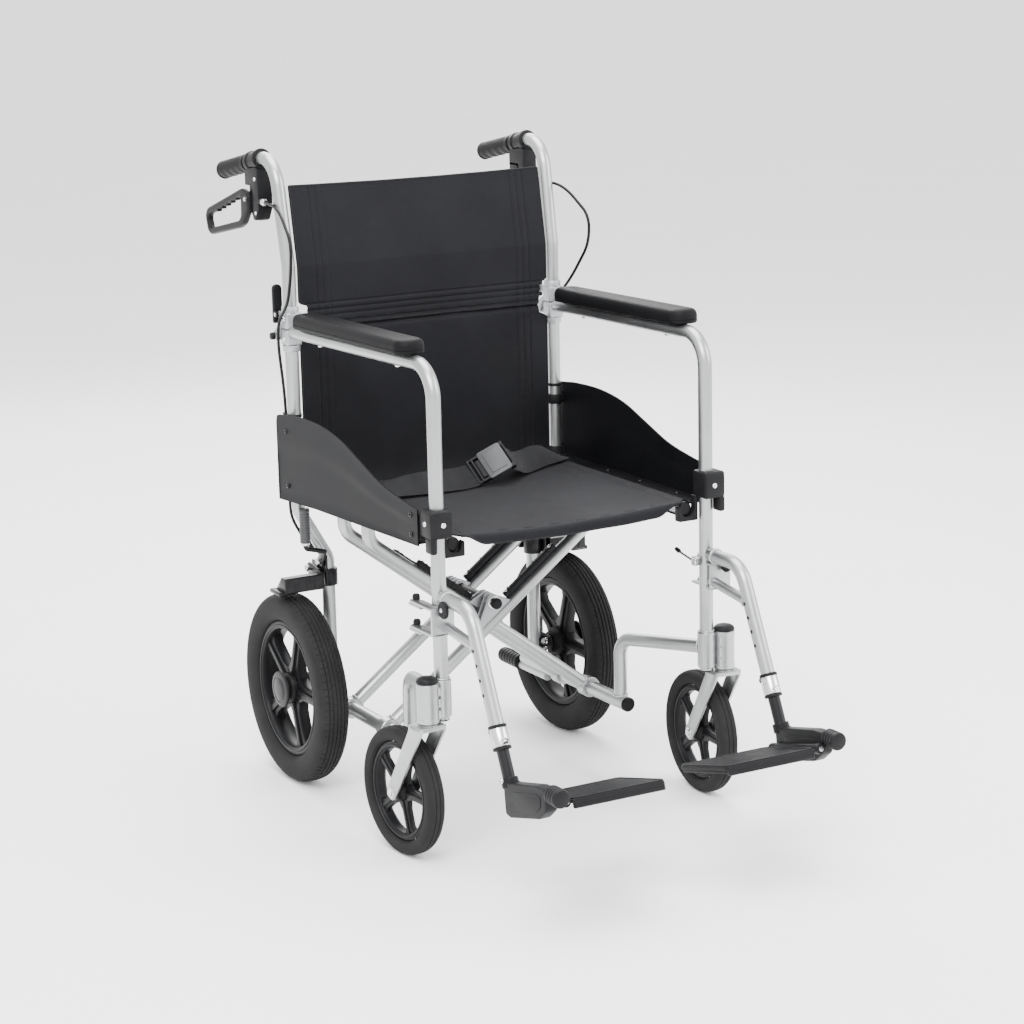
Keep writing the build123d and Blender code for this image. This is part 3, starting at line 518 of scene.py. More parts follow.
TYRE = surface("tyre rubber", (0.0105, 0.0105, 0.0105), (0.017, 0.017, 0.0168), 0.74, grain=900, bump=0.3,
               patch=22, specular=0.10)
GRIP = surface("grip rubber", (0.0050, 0.0050, 0.0050), (0.0085, 0.0085, 0.0085), 0.56, grain=1000,
               bump=0.25, specular=0.12)
CABLE = surface("cable sheath", (0.0045, 0.0045, 0.0045), (0.0080, 0.0080, 0.0080), 0.38, grain=900,
                bump=0.1, specular=0.15)
NYLON = surface("black nylon", (0.0040, 0.0040, 0.0053), (0.0072, 0.0072, 0.0092), 0.66, grain=500,
                bump=0.22, patch=5, sheen=0.05, weave=900, specular=0.10)
WEBBING = surface("belt webbing", (0.0060, 0.0060, 0.0070), (0.0110, 0.0110, 0.0125), 0.60, grain=600,
                  bump=0.4, patch=30, sheen=0.05, weave=420, specular=0.10)
THREAD = surface("stitching", (0.011, 0.011, 0.013), (0.020, 0.020, 0.023), 0.7, grain=2000, bump=0.3,
                 patch=60, specular=0.10)
BUCKLE = surface("grey buckle", (0.030, 0.031, 0.033), (0.042, 0.043, 0.046), 0.42, grain=1000, bump=0.12,
                 specular=0.35)
FLOOR = surface("floor", (0.900, 0.900, 0.900), (0.925, 0.925, 0.925), 0.90, grain=60, bump=0.02, patch=1.5)


# ---- side frames ------------------------------------------------------------

def sleeve(shape, x, y, low, high, radius):
    edge = 0.0015
    lathe(shape, (x, y, low), UP,
          [(radius - 0.003, 0), (radius - edge, 0), (radius, edge), (radius, high - low - edge),
           (radius - edge, high - low), (radius - 0.003, high - low)], sides=48)


def side_frame(side):
    tubes = Shape()
    tube(tubes, [(FRONT_X, FRONT_Y, 0.226), (FRONT_X, FRONT_Y, ARM_FRONT_Z),
                 (ARM_REAR_X, ARM_REAR_Y, ARM_REAR_Z)], TUBE_R, 0.05, sides=40, bore=TUBE_BORE)
    tube(tubes, [(FRONT_X - 0.005, -0.192, 0.262), (PIVOT_X, -0.011, 0.238),
                 (PIVOT_X, -0.011, PIVOT_Z + 0.009)], TUBE_R, 0.03, sides=36)
    sleeve(tubes, FRONT_X, FRONT_Y, 0.230, 0.288, 0.0145)
    lathe(tubes, (HOUSING_X, HOUSING_Y, 0.226), UP,
          [(0.0101, 0), (0.0155, 0), (0.017, 0.0015), (0.017, 0.008), (0.0165, 0.0085), (0.0165, 0.0535),
           (0.017, 0.054), (0.017, 0.0605), (0.0155, 0.062), (0.0101, 0.062)], sides=48)
    for level in PEG_LEVELS:
        box(tubes, (FRONT_X + 0.003, -0.193, level), (0.264, -0.156, level + 0.004), 0.001)
        lathe(tubes, (PEG_X, PEG_Y, level), UP, [(0.004, 0), (0.004, 0.0155), (0.003, 0.017), (0, 0.017)],
              24)
    box(tubes, (0.217, FRONT_Y - 0.004, 0.398), (FRONT_X - 0.009, FRONT_Y + 0.004, 0.408), 0.001)
    lathe(tubes, (0.2115, FRONT_Y, 0.403), OUT, [(0, 0), (0.003, 0), (0.003, 0.012)], 20)
    side_piece(tubes, "frame tubes", PAINT, "frame", side, node="side_frame")
    welds = Shape()
    torus_weld(welds, (FRONT_X - 0.003, -0.193, 0.262), (-0.22, 0.95, -0.12), 0.0118, seed=1)
    torus_weld(welds, (FRONT_X, FRONT_Y, 0.2895), UP, 0.0118, 0.0012, seed=3)
    torus_weld(welds, (PIVOT_X, -0.011, PIVOT_Z + 0.0118), UP, 0.0112, seed=2)
    for z in (0.239, 0.257, 0.275):
        tube(welds, [(0.2505, -0.2215, z - 0.006), (0.2505, -0.2215, z + 0.006)], 0.0022, sides=12)
    side_piece(welds, "frame welds", WELD, "frame", side, smooth=80)


def rear_post(side):
    post = Shape()
    tube(post, [(POST_X, POST_Y, 0.74), (POST_X, POST_Y, 0.458), (PIVOT_X, POST_Y, 0.372),
                (PIVOT_X, POST_Y, 0.139)], TUBE_R, 0.03, sides=36)
    sleeve(post, PIVOT_X, POST_Y, 0.1435, 0.156, 0.0128)
    side_piece(post, "rear post", PAINT, "frame", side, node="rear_post")
    weld = Shape()
    torus_weld(weld, (PIVOT_X, POST_Y, 0.1436), UP, 0.0122, seed=4)
    side_piece(weld, "post weld", WELD, "frame", side, smooth=80)
    lower = Shape()
    box(lower, (HINGE_IN_X, HINGE_FRONT_Y, 0.7295), (HINGE_OUT_X, HINGE_REAR_Y, 0.7561), 0.0035)
    lathe(lower, (POST_X, POST_Y, 0.7200), UP,
          [(COLLAR_BORE, 0), (0.0134, 0), (0.0140, 0.001), (0.0140, 0.010)], 40)
    lathe(lower, (POST_X - 0.005, PIN_Y, PIN_Z), OUT,
          [(0.0043, 0), (0.0064, 0), (0.0070, 0.0006), (0.0070, 0.0094), (0.0064, 0.010), (0.0043, 0.010)],
          36)
    neck = rounded_outline([(0.2795, 0.7340), (0.2795, 0.7505), (0.3075, 0.7478), (0.3075, 0.7340)], 0.0015)
    plate(lower, neck, 0.2381, 0.2479, bevel=0.0008)
    side_piece(lower, "hinge lower", GREY_CAST, "frame", side)
    bolts = Shape()
    bolt(bolts, (HINGE_OUT_X, 0.2700, 0.7400), OUT, 0.0042, 0.0028)
    side_piece(bolts, "hinge bolts", STEEL, "frame", side)
    bracket = Shape()
    box(bracket, (0.1945, 0.262, 0.1434), (0.2220, 0.298, 0.176), 0.003)
    lathe(bracket, (0.222, REAR_Y, REAR_R), OUT,
          [(0.0165, 0), (0.0165, 0.003), (0.0150, 0.004), (0.006, 0.004)], 40)
    side_piece(bracket, "axle bracket", DARK_STEEL, "frame", side)
    axle = Shape()
    lathe(axle, (0.212, REAR_Y, REAR_R), OUT,
          [(0, 0), (0.006, 0), (0.006, 0.072), (0.005, 0.073), (0, 0.073)], 28)
    for z in (0.168, 0.151):
        bolt(axle, (0.208, 0.2625, z), FRONT, 0.0048, 0.004, "hex")
    bolt(axle, (0.1945, 0.286, 0.166), IN, 0.0045, 0.004, "hex")
    side_piece(axle, "axle", STEEL, "frame", side)


def pivot_tube(side):
    pivot_tube_shape = Shape()
    tube(pivot_tube_shape, [(PIVOT_X, -0.031, PIVOT_Z), (PIVOT_X, 0.305, PIVOT_Z)], 0.012, sides=36,
         bore=0.010)
    tube(pivot_tube_shape, [(PIVOT_X, 0.228, 0.115), (PIVOT_X, 0.326, 0.115)], 0.008, sides=28)
    side_piece(pivot_tube_shape, "pivot tube", PAINT, "frame", side, node="pivot_tube")
    weld = Shape()
    for y in (0.232, 0.252, 0.272, 0.292):
        box(weld, (PIVOT_X + 0.0055, y, 0.1185), (PIVOT_X + 0.0095, y + 0.014, 0.1225), 0.0015)
    side_piece(weld, "lever weld", WELD, "frame", side, smooth=80)


def end_caps(side):
    caps = Shape()
    lathe(caps, (HOUSING_X, HOUSING_Y, 0.2882), UP,
          [(0, 0), (0.0165, 0), (0.0168, 0.0006), (0.0168, 0.0032), (0.0155, 0.0055), (0.0125, 0.0077),
           (0.0080, 0.0090), (0, 0.0094)], 48)
    lathe(caps, (PIVOT_X, -0.0312, PIVOT_Z), FRONT,
          [(0, 0), (0.0122, 0), (0.0122, 0.0035), (0.0108, 0.0056), (0.006, 0.0062), (0, 0.0063)], 40)
    rings = [(0.0088, 0)]
    for k in range(6):
        base = 0.004 + k * 0.0095
        rings += [(0.0136, base), (0.0136, base + 0.006), (0.0127, base + 0.007), (0.0127, base + 0.0085)]
    rings += [(0.0134, 0.062), (0.0120, 0.0665), (0.0070, 0.068), (0, 0.068)]
    lathe(caps, (PIVOT_X, 0.318, 0.118), REAR, [(0, 0.0005)] + rings, 40)
    lathe(caps, (PIVOT_X, 0.3052, PIVOT_Z), REAR,
          [(0, 0), (0.0118, 0), (0.0115, 0.002), (0.009, 0.003), (0, 0.0032)], 36)
    lathe(caps, (FRONT_X, FRONT_Y, 0.2258), DOWN,
          [(0, 0), (0.0108, 0), (0.0108, 0.0015), (0.009, 0.0026), (0, 0.0028)], 36)
    side_piece(caps, "caps", BLACK, "frame", side, node="end_caps")


def stadium(half_w, half_l, corner):
    """Outline of a rectangle with round corners, always with the same number of points."""
    outline = []
    for number, (sx, sy) in enumerate(((1, 1), (-1, 1), (-1, -1), (1, -1))):
        for k in range(STADIUM_STEPS + 1):
            a = pi / 2 * (number + k / STADIUM_STEPS)
            outline.append((sx * (half_w - corner) + corner * cos(a),
                            sy * (half_l - corner) + corner * sin(a)))
    return outline


def stacked(shape, outlines, place):
    """Closes a form from outlines stacked on each other; place turns (x, y, level) into a point."""
    verts = [place(x, y, level) for outline, level in outlines for x, y in outline]
    rings, sides = len(outlines), len(outlines[0][0])
    return shape.add(verts, wall_faces(rings, sides) + end_faces(rings, sides))


def armrest_pad(side):
    """A moulded pad with a parting line along its side and a softly crowned top."""
    slope = atan2(ARM_FRONT_Z - ARM_REAR_Z, ARM_REAR_Y - FRONT_Y)
    half_l, half_w, height = 0.195, 0.025, 0.0235
    share = (0.040 - FRONT_Y) / (ARM_REAR_Y - FRONT_Y)
    middle = Vector((FRONT_X + share * (ARM_REAR_X - FRONT_X), 0.040,
                     ARM_FRONT_Z + share * (ARM_REAR_Z - ARM_FRONT_Z) + TUBE_R + 0.0003))
    tilt = Matrix.Rotation(-slope, 3, "X")
    section = [(0.0040, 0.0), (0.0012, 0.03), (0.0, 0.12), (0.0, 0.27), (0.0006, 0.285), (0.0006, 0.305),
               (0.0, 0.32), (0.0, 0.52), (0.0006, 0.66), (0.0020, 0.80), (0.0045, 0.905), (0.0080, 0.962),
               (0.0125, 0.990), (0.0170, 1.0), (0.0200, 1.003)]
    outlines = [(stadium(half_w - inset, half_l - inset, 0.0225 - inset), level * height)
                for inset, level in section]
    pad = Shape()
    stacked(pad, outlines, lambda x, y, z: middle + tilt @ Vector((x, y, z)))
    piece = side_piece(pad, "armrest pad", PAD, "frame", side, smooth=50, node="armrest_pad")
    screws = Shape()
    for y in (-0.095, 0.165):
        part = (y - FRONT_Y) / (ARM_REAR_Y - FRONT_Y)
        x = FRONT_X + part * (ARM_REAR_X - FRONT_X)
        z = ARM_FRONT_Z + part * (ARM_REAR_Z - ARM_FRONT_Z)
        bolt(screws, (x, y, z - TUBE_R + 0.0003), DOWN, 0.0045, 0.003)
    side_piece(screws, "pad screws", STEEL, "frame", side)


def smooth_curve(points, count):
    """Points on a smooth curve through the given ones."""
    found = []
    padded = [points[0]] + list(points) + [points[-1]]
    for i in range(1, len(padded) - 2):
        p0, p1, p2, p3 = (Vector(padded[i + d]) for d in (-1, 0, 1, 2))
        for k in range(count):
            t = k / count
            p = 0.5 * ((2 * p1) + (p2 - p0) * t + (2 * p0 - 5 * p1 + 4 * p2 - p3) * t * t
                       + (3 * p1 - p0 - 3 * p2 + p3) * t ** 3)
            found.append(p)
    found.append(Vector(points[-1]))
    return found


PANEL_TOP = [(0.3080, 0.6000), (0.3055, 0.6080), (0.2990, 0.6135), (0.262, 0.618), (0.221, 0.6215),
             (0.147, 0.6215), (0.075, 0.611), (0.007, 0.5885), (-0.060, 0.566), (-0.126, 0.554),
             (-0.1865, 0.546)]
PANEL_BOTTOM = [(-0.1865, 0.491), (0.165, 0.4805), (0.308, 0.4725)]


def side_panel(side):
    """A moulded guard: a thin dished sheet with a rolled lip all round and a shallow crease."""
    top = smooth_curve(PANEL_TOP, 8)
    columns = len(top)
    rows = 15

    def bottom_z(y):
        for (ya, za), (yb, zb) in zip(PANEL_BOTTOM, PANEL_BOTTOM[1:]):
            if ya <= y <= yb:
                return za + (zb - za) * (y - ya) / (yb - ya)
        return PANEL_BOTTOM[0][1] if y < 0 else PANEL_BOTTOM[-1][1]

    grid_out, grid_in = [], []
    for i, (y, z_top) in enumerate(top):
        z_low = bottom_z(y)
        for j in range(rows):
            t = j / (rows - 1)
            z = z_low + (z_top - z_low) * t
            edge = min(i, columns - 1 - i) / (columns - 1) * 9
            rim = min(1.0, min(t, 1 - t) * (z_top - z_low) / 0.006, edge)
            crease = 0.0010 if t > 0.55 else 0.0
            crease *= min(1.0, abs(t - 0.55) * 12)
            x_out = 0.2604 - 0.0013 * rim + crease * rim
            grid_out.append(Vector((x_out, y, z)))
            grid_in.append(Vector((x_out - 0.0024, y, z)))
    panel = Shape()
    panel.add(grid_out + grid_in, sheet_faces(columns - 1, rows - 1))
    side_piece(panel, "side panel", PANEL, "frame", side, smooth=40, node="side_panel")
    ledge = Shape()
    foot = rounded_outline([(-0.180, 0.2195), (0.250, 0.2195), (0.250, 0.2572), (-0.180, 0.2572)], 0.004)
    plate(ledge, [(x, y) for y, x in foot], 0.4915, 0.4945, axis="z", bevel=0.0010)
    side_piece(ledge, "panel ledge", PANEL, "frame", side, smooth=40)
    screws = Shape()
    for y, z in ((-0.165, 0.535), (-0.165, 0.505), (0.272, 0.590), (0.272, 0.500)):
        bolt(screws, (0.2600, y, z), OUT, 0.0042, 0.0022)
    for y in (0.095, -0.005, -0.115):
        bolt(screws, (0.2400, y, 0.4945), UP, 0.0046, 0.0026)
    side_piece(screws, "panel screws", DARK_STEEL, "frame", side)
    brackets = Shape()
    for z in (0.500, 0.590):
        box(brackets, (0.2425, 0.262, z - 0.008), (0.2568, 0.2845, z + 0.008), 0.002)
        lathe(brackets, (POST_X, POST_Y, z - 0.008), UP,
              [(COLLAR_BORE, 0), (0.0135, 0), (0.0140, 0.001), (0.0140, 0.015), (0.0135, 0.016),
               (COLLAR_BORE, 0.016)], 36)
    box(brackets, (0.2475, -0.187, 0.500), (0.2568, -0.155, 0.540), 0.002)
    side_piece(brackets, "panel brackets", BLACK, "frame", side)


def seat_cradle(side):
    cradle = Shape()
    box(cradle, (0.2220, -0.2260, 0.5060), (0.2580, -0.1872, 0.5480), 0.004)
    box(cradle, (0.2236, -0.2268, 0.5120), (0.2564, -0.2240, 0.5420), 0.0012)
    box(cradle, (0.2478, -0.2258, 0.4840), (0.2580, -0.2040, 0.5080), 0.003)
    hook = SEAT_RAIL_Z - TUBE_R - 0.0005
    outline = rounded_outline([(0.189, hook - 0.007), (0.224, hook - 0.007), (0.224, 0.509),
                               (0.2185, 0.509), (0.2185, SEAT_RAIL_Z), (0.2150, hook + 0.004),
                               (0.2100, hook), (0.2000, hook), (0.1960, hook + 0.004),
                               (0.1925, hook + 0.016), (0.189, hook + 0.016)], 0.0025)
    plate(cradle, outline, -0.200, -0.1875, axis="y", bevel=0.0012)
    side_piece(cradle, "seat cradle", BLACK, "frame", side, node="seat_cradle")
    screws = Shape()
    bolt(screws, (0.258, -0.2065, 0.528), OUT, 0.0042, 0.0022)
    bolt(screws, (0.238, -0.2268, 0.527), FRONT, 0.0040, 0.0016)
    side_piece(screws, "cradle screws", STEEL, "frame", side)


# ---- wheels -----------------------------------------------------------------

def spoked_wheel(shape, centre, rim_out, rim_in, rim_half, hub_r, hub_low, hub_high, spoke_w):
    """A moulded wheel: stepped rim, five ribbed spokes and a hub, around the local X axis."""
    local = Shape()
    lip = rim_half * 0.30
    rim = [(rim_in, -rim_half * 0.62), (rim_in + 0.002, -rim_half * 0.9), (rim_in + 0.005, -rim_half),
           (rim_out - 0.004, -rim_half), (rim_out - 0.0012, -rim_half + 0.001),
           (rim_out - 0.0012, -rim_half + lip), (rim_out - 0.006, -rim_half + lip * 1.3),
           (rim_out - 0.006, rim_half - lip * 1.3), (rim_out - 0.0012, rim_half - lip),
           (rim_out - 0.0012, rim_half - 0.001), (rim_out - 0.004, rim_half), (rim_in + 0.005, rim_half),
           (rim_in + 0.002, rim_half * 0.9), (rim_in, rim_half * 0.62), (rim_in, -rim_half * 0.62)]
    lathe(local, (0, 0, 0), OUT, rim, sides=120)
    step = rim_in + (rim_out - rim_in) * 0.45
    for side_x in (-1, 1):
        groove = [(step - 0.0020, side_x * rim_half), (step - 0.0012, side_x * (rim_half + 0.0012)),
                  (step + 0.0012, side_x * (rim_half + 0.0012)), (step + 0.0020, side_x * rim_half)]
        lathe(local, (0, 0, 0), OUT, groove, sides=120)
    hub = [(0, hub_low), (hub_r * 0.62, hub_low), (hub_r * 0.72, hub_low + 0.0012),
           (hub_r * 0.76, hub_low + 0.006), (hub_r * 0.96, hub_low + 0.010), (hub_r, hub_low + 0.012),
           (hub_r, hub_high - 0.012), (hub_r * 0.96, hub_high - 0.010), (hub_r * 0.76, hub_high - 0.006),
           (hub_r * 0.72, hub_high - 0.0012), (hub_r * 0.62, hub_high), (0, hub_high)]
    lathe(local, (0, 0, 0), OUT, hub, sides=56)
    thick = rim_half * 0.52
    for number in range(5):
        turn = Matrix.Rotation(radians(90 + 72 * number), 3, "X")
        arm = Shape()
        start, end = hub_r * 0.8, rim_in + 0.003
        wide, slim = spoke_w * 0.62, spoke_w * 0.42
        outline = [(-wide * 1.25, start), (-slim, start + (end - start) * 0.30),
                   (-slim * 0.95, end - (end - start) * 0.22), (-slim * 1.7, end), (slim * 1.7, end),
                   (slim * 0.95, end - (end - start) * 0.22), (slim, start + (end - start) * 0.30),
                   (wide * 1.25, start)]
        plate(arm, outline, -thick, thick, bevel=0.0018)
        ridge = [(-slim * 0.35, start), (-slim * 0.35, end), (slim * 0.35, end), (slim * 0.35, start)]
        plate(arm, ridge, -thick * 1.45, thick * 1.45, bevel=0.0010)
        local.put(arm, (0, 0, 0), turn)
    shape.put(local, centre)


def ribbed_tyre(shape, centre, outer_r, inner_r, width, ribs, blocks, groove=0.0022):
    """A tyre with grooves round it and short cross cuts, around the local X axis."""
    half = width / 2
    across = []
    shoulder = (outer_r - inner_r) * 0.40
    across += [(-half * 0.60, inner_r, 0), (-half * 0.74, inner_r + 0.001, 0),
               (-half * 0.90, inner_r + shoulder * 0.30, 0), (-half * 0.985, inner_r + shoulder * 0.75, 0)]
    steps = 44
    for i in range(steps + 1):
        t = -1 + 2 * i / steps
        bulge = (1 - abs(t) ** 2.6) ** (1 / 2.2)
        r = outer_r - shoulder * 1.05 + shoulder * 1.05 * bulge
        tread = 1 if abs(t) < 0.74 else 0
        across.append((half * t, r, tread))
    across += [(half * 0.985, inner_r + shoulder * 0.75, 0), (half * 0.90, inner_r + shoulder * 0.30, 0),
               (half * 0.74, inner_r + 0.001, 0), (half * 0.60, inner_r, 0)]
    around = blocks * 6 if blocks else 160
    verts = []
    for k in range(around):
        a = 2 * pi * k / around
        cut = blocks and k % 6 == 0
        for x, r, tread in across:
            depth = 0.0
            if tread:
                place = (x / half / 0.74 + 1) / 2 * ribs
                inside = abs(place - round(place))
                if inside < 0.13 and 0 < round(place) < ribs:
                    depth = groove
                elif cut and abs(x) > half * 0.16:
                    depth = groove * 0.6
            verts.append(Vector(centre) + Vector((x, (r - depth) * cos(a), (r - depth) * sin(a))))
    return shape.add(verts, wrapped_faces(around, len(across)))


def rear_wheel(side):
    centre = (REAR_X, REAR_Y, REAR_R)
    wheel = Shape()
    spoked_wheel(wheel, centre, rim_out=0.1128, rim_in=0.098, rim_half=0.0175, hub_r=0.026, hub_low=-0.0285,
                 hub_high=0.027, spoke_w=0.030)
    side_piece(wheel, "rear wheel", WHEEL, "rear_wheel", side, node="rear_wheel")
    cap = Shape()
    lathe(cap, (REAR_X + 0.0262, REAR_Y, REAR_R), OUT,
          [(0, 0), (0.0292, 0), (0.0300, 0.0008), (0.0300, 0.0030), (0.0285, 0.0046), (0.0225, 0.0056),
           (0.0215, 0.0050), (0.0200, 0.0050), (0.0190, 0.0058), (0.0080, 0.0066), (0, 0.0067)], 64)
    side_piece(cap, "hub cap", HUB, "rear_wheel", side)
    screws = Shape()
    for number in range(5):
        a = radians(54 + 72 * number)
        bolt(screws, (REAR_X + 0.0165, REAR_Y + 0.0205 * cos(a), REAR_R + 0.0205 * sin(a)), OUT, 0.003,
             0.002)
    side_piece(screws, "hub screws", STEEL, "rear_wheel", side)
    tyre = Shape()
    ribbed_tyre(tyre, centre, outer_r=0.158, inner_r=0.1130, width=0.052, ribs=6, blocks=84)
    side_piece(tyre, "rear tyre", TYRE, "rear_wheel", side, smooth=32, node="rear_tyre")


def caster_point(x, y, z):
    """From the caster's own frame around its stem into the shared frame."""
    turned = Matrix.Rotation(-CASTER_YAW, 3, "Z") @ Vector((x, y, 0))
    return Vector((HOUSING_X + turned.x, HOUSING_Y + turned.y, z))


def turned_caster(shape):
    """Turns a shape drawn around the stem to its place under the housing."""
    placed = Shape()
    placed.add([caster_point(v.x, v.y, v.z) for v in shape.verts], shape.faces)
    return placed


def caster(side):
    fork = Shape()
    crown_low, crown_high = 0.216, 0.2230
    lathe(fork, (0, 0, crown_high), UP, [(0.010, 0), (0.010, 0.063), (0, 0.063)], 32)
    lathe(fork, (0, 0, crown_high - 0.0005), UP, [(0.0150, 0), (0.0150, 0.0022), (0.010, 0.0022)], 36)
    angle = atan2(crown_low - CASTER_R, CASTER_TRAIL)
    half = 0.012
    off_y = half * sin(angle)
    crown = rounded_outline([(-0.0225, -0.017), (0.0225, -0.017), (0.0225, 0.020), (-0.0225, 0.020)], 0.004)
    plate(fork, crown, crown_low, crown_high, axis="z", bevel=0.0012)
    leg = [(-off_y - 0.006, crown_high - 0.0005), (-off_y - 0.003, crown_low - 0.004)]
    foot = []
    for k in range(13):
        a = pi + (pi / 2 - angle) + pi * k / 12
        foot.append((CASTER_TRAIL + half * cos(a), CASTER_R + half * sin(a)))
    leg += foot + [(off_y + 0.012, crown_low - 0.004), (off_y + 0.010, crown_high - 0.0005)]
    for low, high in ((-0.0225, -0.0185), (0.0185, 0.0225)):
        plate(fork, leg, low, high, bevel=0.0008)
    side_piece(turned_caster(fork), "caster fork", PAINT, "caster_fork", side, node="caster_fork")
    bolts = Shape()
    for way in (-1, 1):
        bolt(bolts, (way * 0.0225, CASTER_TRAIL, CASTER_R), (way, 0, 0), 0.0062, 0.0040, "hex")
    band(bolts, (-0.022, CASTER_TRAIL, CASTER_R), OUT, 0, 0.004, 0.044, 20)
    side_piece(turned_caster(bolts), "caster axle", STEEL, "caster_fork", side)
    centre = (0, CASTER_TRAIL, CASTER_R)
    disc = Shape()
    spoked_wheel(disc, centre, rim_out=0.0778, rim_in=0.066, rim_half=0.0095, hub_r=0.017, hub_low=-0.017,
                 hub_high=0.017, spoke_w=0.020)
    side_piece(turned_caster(disc), "caster wheel", WHEEL, "caster_wheel", side, node="caster_wheel")
    ring = Shape()
    ribbed_tyre(ring, centre, outer_r=0.100, inner_r=0.078, width=0.030, ribs=3, blocks=0, groove=0.0012)
    side_piece(turned_caster(ring), "caster tyre", TYRE, "caster_wheel", side, node="caster_tyre")


# ---- cross braces -----------------------------------------------------------

def brace(letter, tube_ys, side):
    """Drawn low at +X and high at -X; brace B is its mirror image."""
    body = f"brace_{letter}"
    slope = (BRACE_TOP_Z - PIVOT_Z) / (-BRACE_TOP_X - PIVOT_X)
    crossing = PIVOT_Z - PIVOT_X * slope
    run = Vector((-BRACE_TOP_X - PIVOT_X, 0, BRACE_TOP_Z - PIVOT_Z)).normalized()
    normal = Vector((run.z, 0, -run.x))
    brace_shape, welds, guards, screws, lugs = Shape(), Shape(), Shape(), Shape(), Shape()
    for y in tube_ys:
        tube(brace_shape,
             [(PIVOT_X, y, PIVOT_Z), (-BRACE_TOP_X, y, BRACE_TOP_Z), (-BRACE_TOP_X, y, SEAT_RAIL_Z)],
             TUBE_R, 0.034, sides=36)
        lathe(brace_shape, (PIVOT_X, y - 0.0105, PIVOT_Z), REAR,
              [(0.0121, 0), (0.0158, 0), (0.0170, 0.0012), (0.0170, 0.0198), (0.0158, 0.021),
               (0.0121, 0.021)], 44)
        torus_weld(welds, (-BRACE_TOP_X, y, SEAT_RAIL_Z - 0.0112), UP, 0.0115, seed=y * 90)
        torus_weld(welds, Vector((PIVOT_X, y, PIVOT_Z)) + run * 0.0165, run, 0.0113, seed=y * 50)
        lug = rounded_outline([(0.036, crossing + 0.036 * slope + 0.004), (0.0095, CENTRE_Z + 0.009),
                               (0.004, CENTRE_Z + 0.0130), (-0.004, CENTRE_Z + 0.0130),
                               (-0.0095, CENTRE_Z + 0.009), (-0.036, crossing - 0.036 * slope + 0.004),
                               (0, crossing - 0.002)], 0.003)
        for low in (y - 0.008, y + 0.005):
            plate(lugs, lug, low, low + 0.003, axis="y", bevel=0.0007)
        band(lugs, (0, y - 0.008, CENTRE_Z), REAR, 0.0051, 0.0085, 0.016, 32)
        start = Vector((0, y, crossing)) + run * 0.044 + normal * (TUBE_R + 0.0003)
        turn = Matrix((Vector(REAR), normal, run)).transposed()
        guard = Shape()
        box(guard, (-0.005, 0.0, 0.0), (0.005, 0.010, 0.118), 0.002)
        for k in range(4):
            box(guard, (-0.0058, 0.003, 0.012 + k * 0.030), (0.0058, 0.0108, 0.0145 + k * 0.030), 0.0008)
        guards.put(guard, start, turn)
        for k in (0.006, 0.110):
            bolt(screws, start + normal * 0.0100 + run * k, normal, 0.0030, 0.0016)
    tube(brace_shape, [(-BRACE_TOP_X, y, SEAT_RAIL_Z) for y in RAIL_ENDS], TUBE_R, sides=36, bore=TUBE_BORE)
    plug = Shape()
    for y, way in zip(RAIL_ENDS, (-1, 1)):
        lathe(plug, (-BRACE_TOP_X, y, SEAT_RAIL_Z), (0, way, 0),
              [(0.0090, -0.004), (0.0110, 0), (0.0110, 0.0018), (0.0095, 0.0030), (0, 0.0034)], 32)
    finish_piece(plug, f"seat rail plugs {letter}", BLACK, body, side)
    finish_piece(brace_shape, f"brace {letter}", PAINT, body, side, node=body)
    finish_piece(welds, f"brace welds {letter}", WELD, body, side, smooth=80)
    finish_piece(lugs, f"brace lugs {letter}", GREY_CAST, body, side)
    finish_piece(guards, f"brace guards {letter}", BLACK, body, side, node=f"brace_guards_{letter}")
    for y in (-0.150, -0.050, 0.050, 0.140, 0.220):
        bolt(screws, (-BRACE_TOP_X - TUBE_R + 0.0002, y, SEAT_RAIL_Z + 0.001), IN, 0.0040, 0.0024)
    finish_piece(screws, f"brace screws {letter}", STEEL, body, side)


def centre_bolt():
    centre_bolt_shape = Shape()
    band(centre_bolt_shape, (0, 0.052, CENTRE_Z), REAR, 0, 0.005, 0.170, 24)
    for y, way in ((0.0615, -1), (0.2135, 1)):
        bolt(centre_bolt_shape, (0, y, CENTRE_Z), (0, way, 0), 0.0078, 0.0055, "hex")
    finish_piece(centre_bolt_shape, "centre bolt", STEEL, "brace_a")
    caps = Shape()
    for y, way in ((0.0565, -1), (0.2185, 1)):
        lathe(caps, (0, y, CENTRE_Z), (0, way, 0),
              [(0.0085, 0), (0.0092, 0.001), (0.0092, 0.006), (0.0080, 0.0088), (0.004, 0.010),
               (0, 0.0102)], 32)
    finish_piece(caps, "centre bolt caps", BLACK, "brace_a")
    spacers = Shape()
    for low, high in ((0.0785, 0.0855), (0.1025, 0.1725), (0.1895, 0.1965)):
        band(spacers, (0, low, CENTRE_Z), REAR, 0.0055, 0.0080, high - low, 28)
    finish_piece(spacers, "centre spacers", BLACK, "brace_a")


# ---- handles and brakes -----------------------------------------------------

BRAKE_PIN_Y = 0.384
BRAKE_PIN_Z = 0.956
CABLE_EXIT_X = 0.255
CABLE_EXIT_Z = 0.955
HOUSING_IN_X = 0.2334
HOUSING_OUT_X = 0.2586

HANDLE_X = 0.246
HANDLE_CORNER = Vector((HANDLE_X, 0.3047, 1.0316))
HANDLE_END = Vector((HANDLE_X, 0.505, 0.9935))
HANDLE_WAY = (HANDLE_END - HANDLE_CORNER).normalized()


def handle_point(y):
    return HANDLE_CORNER.lerp(HANDLE_END, (y - HANDLE_CORNER.y) / (HANDLE_END.y - HANDLE_CORNER.y))


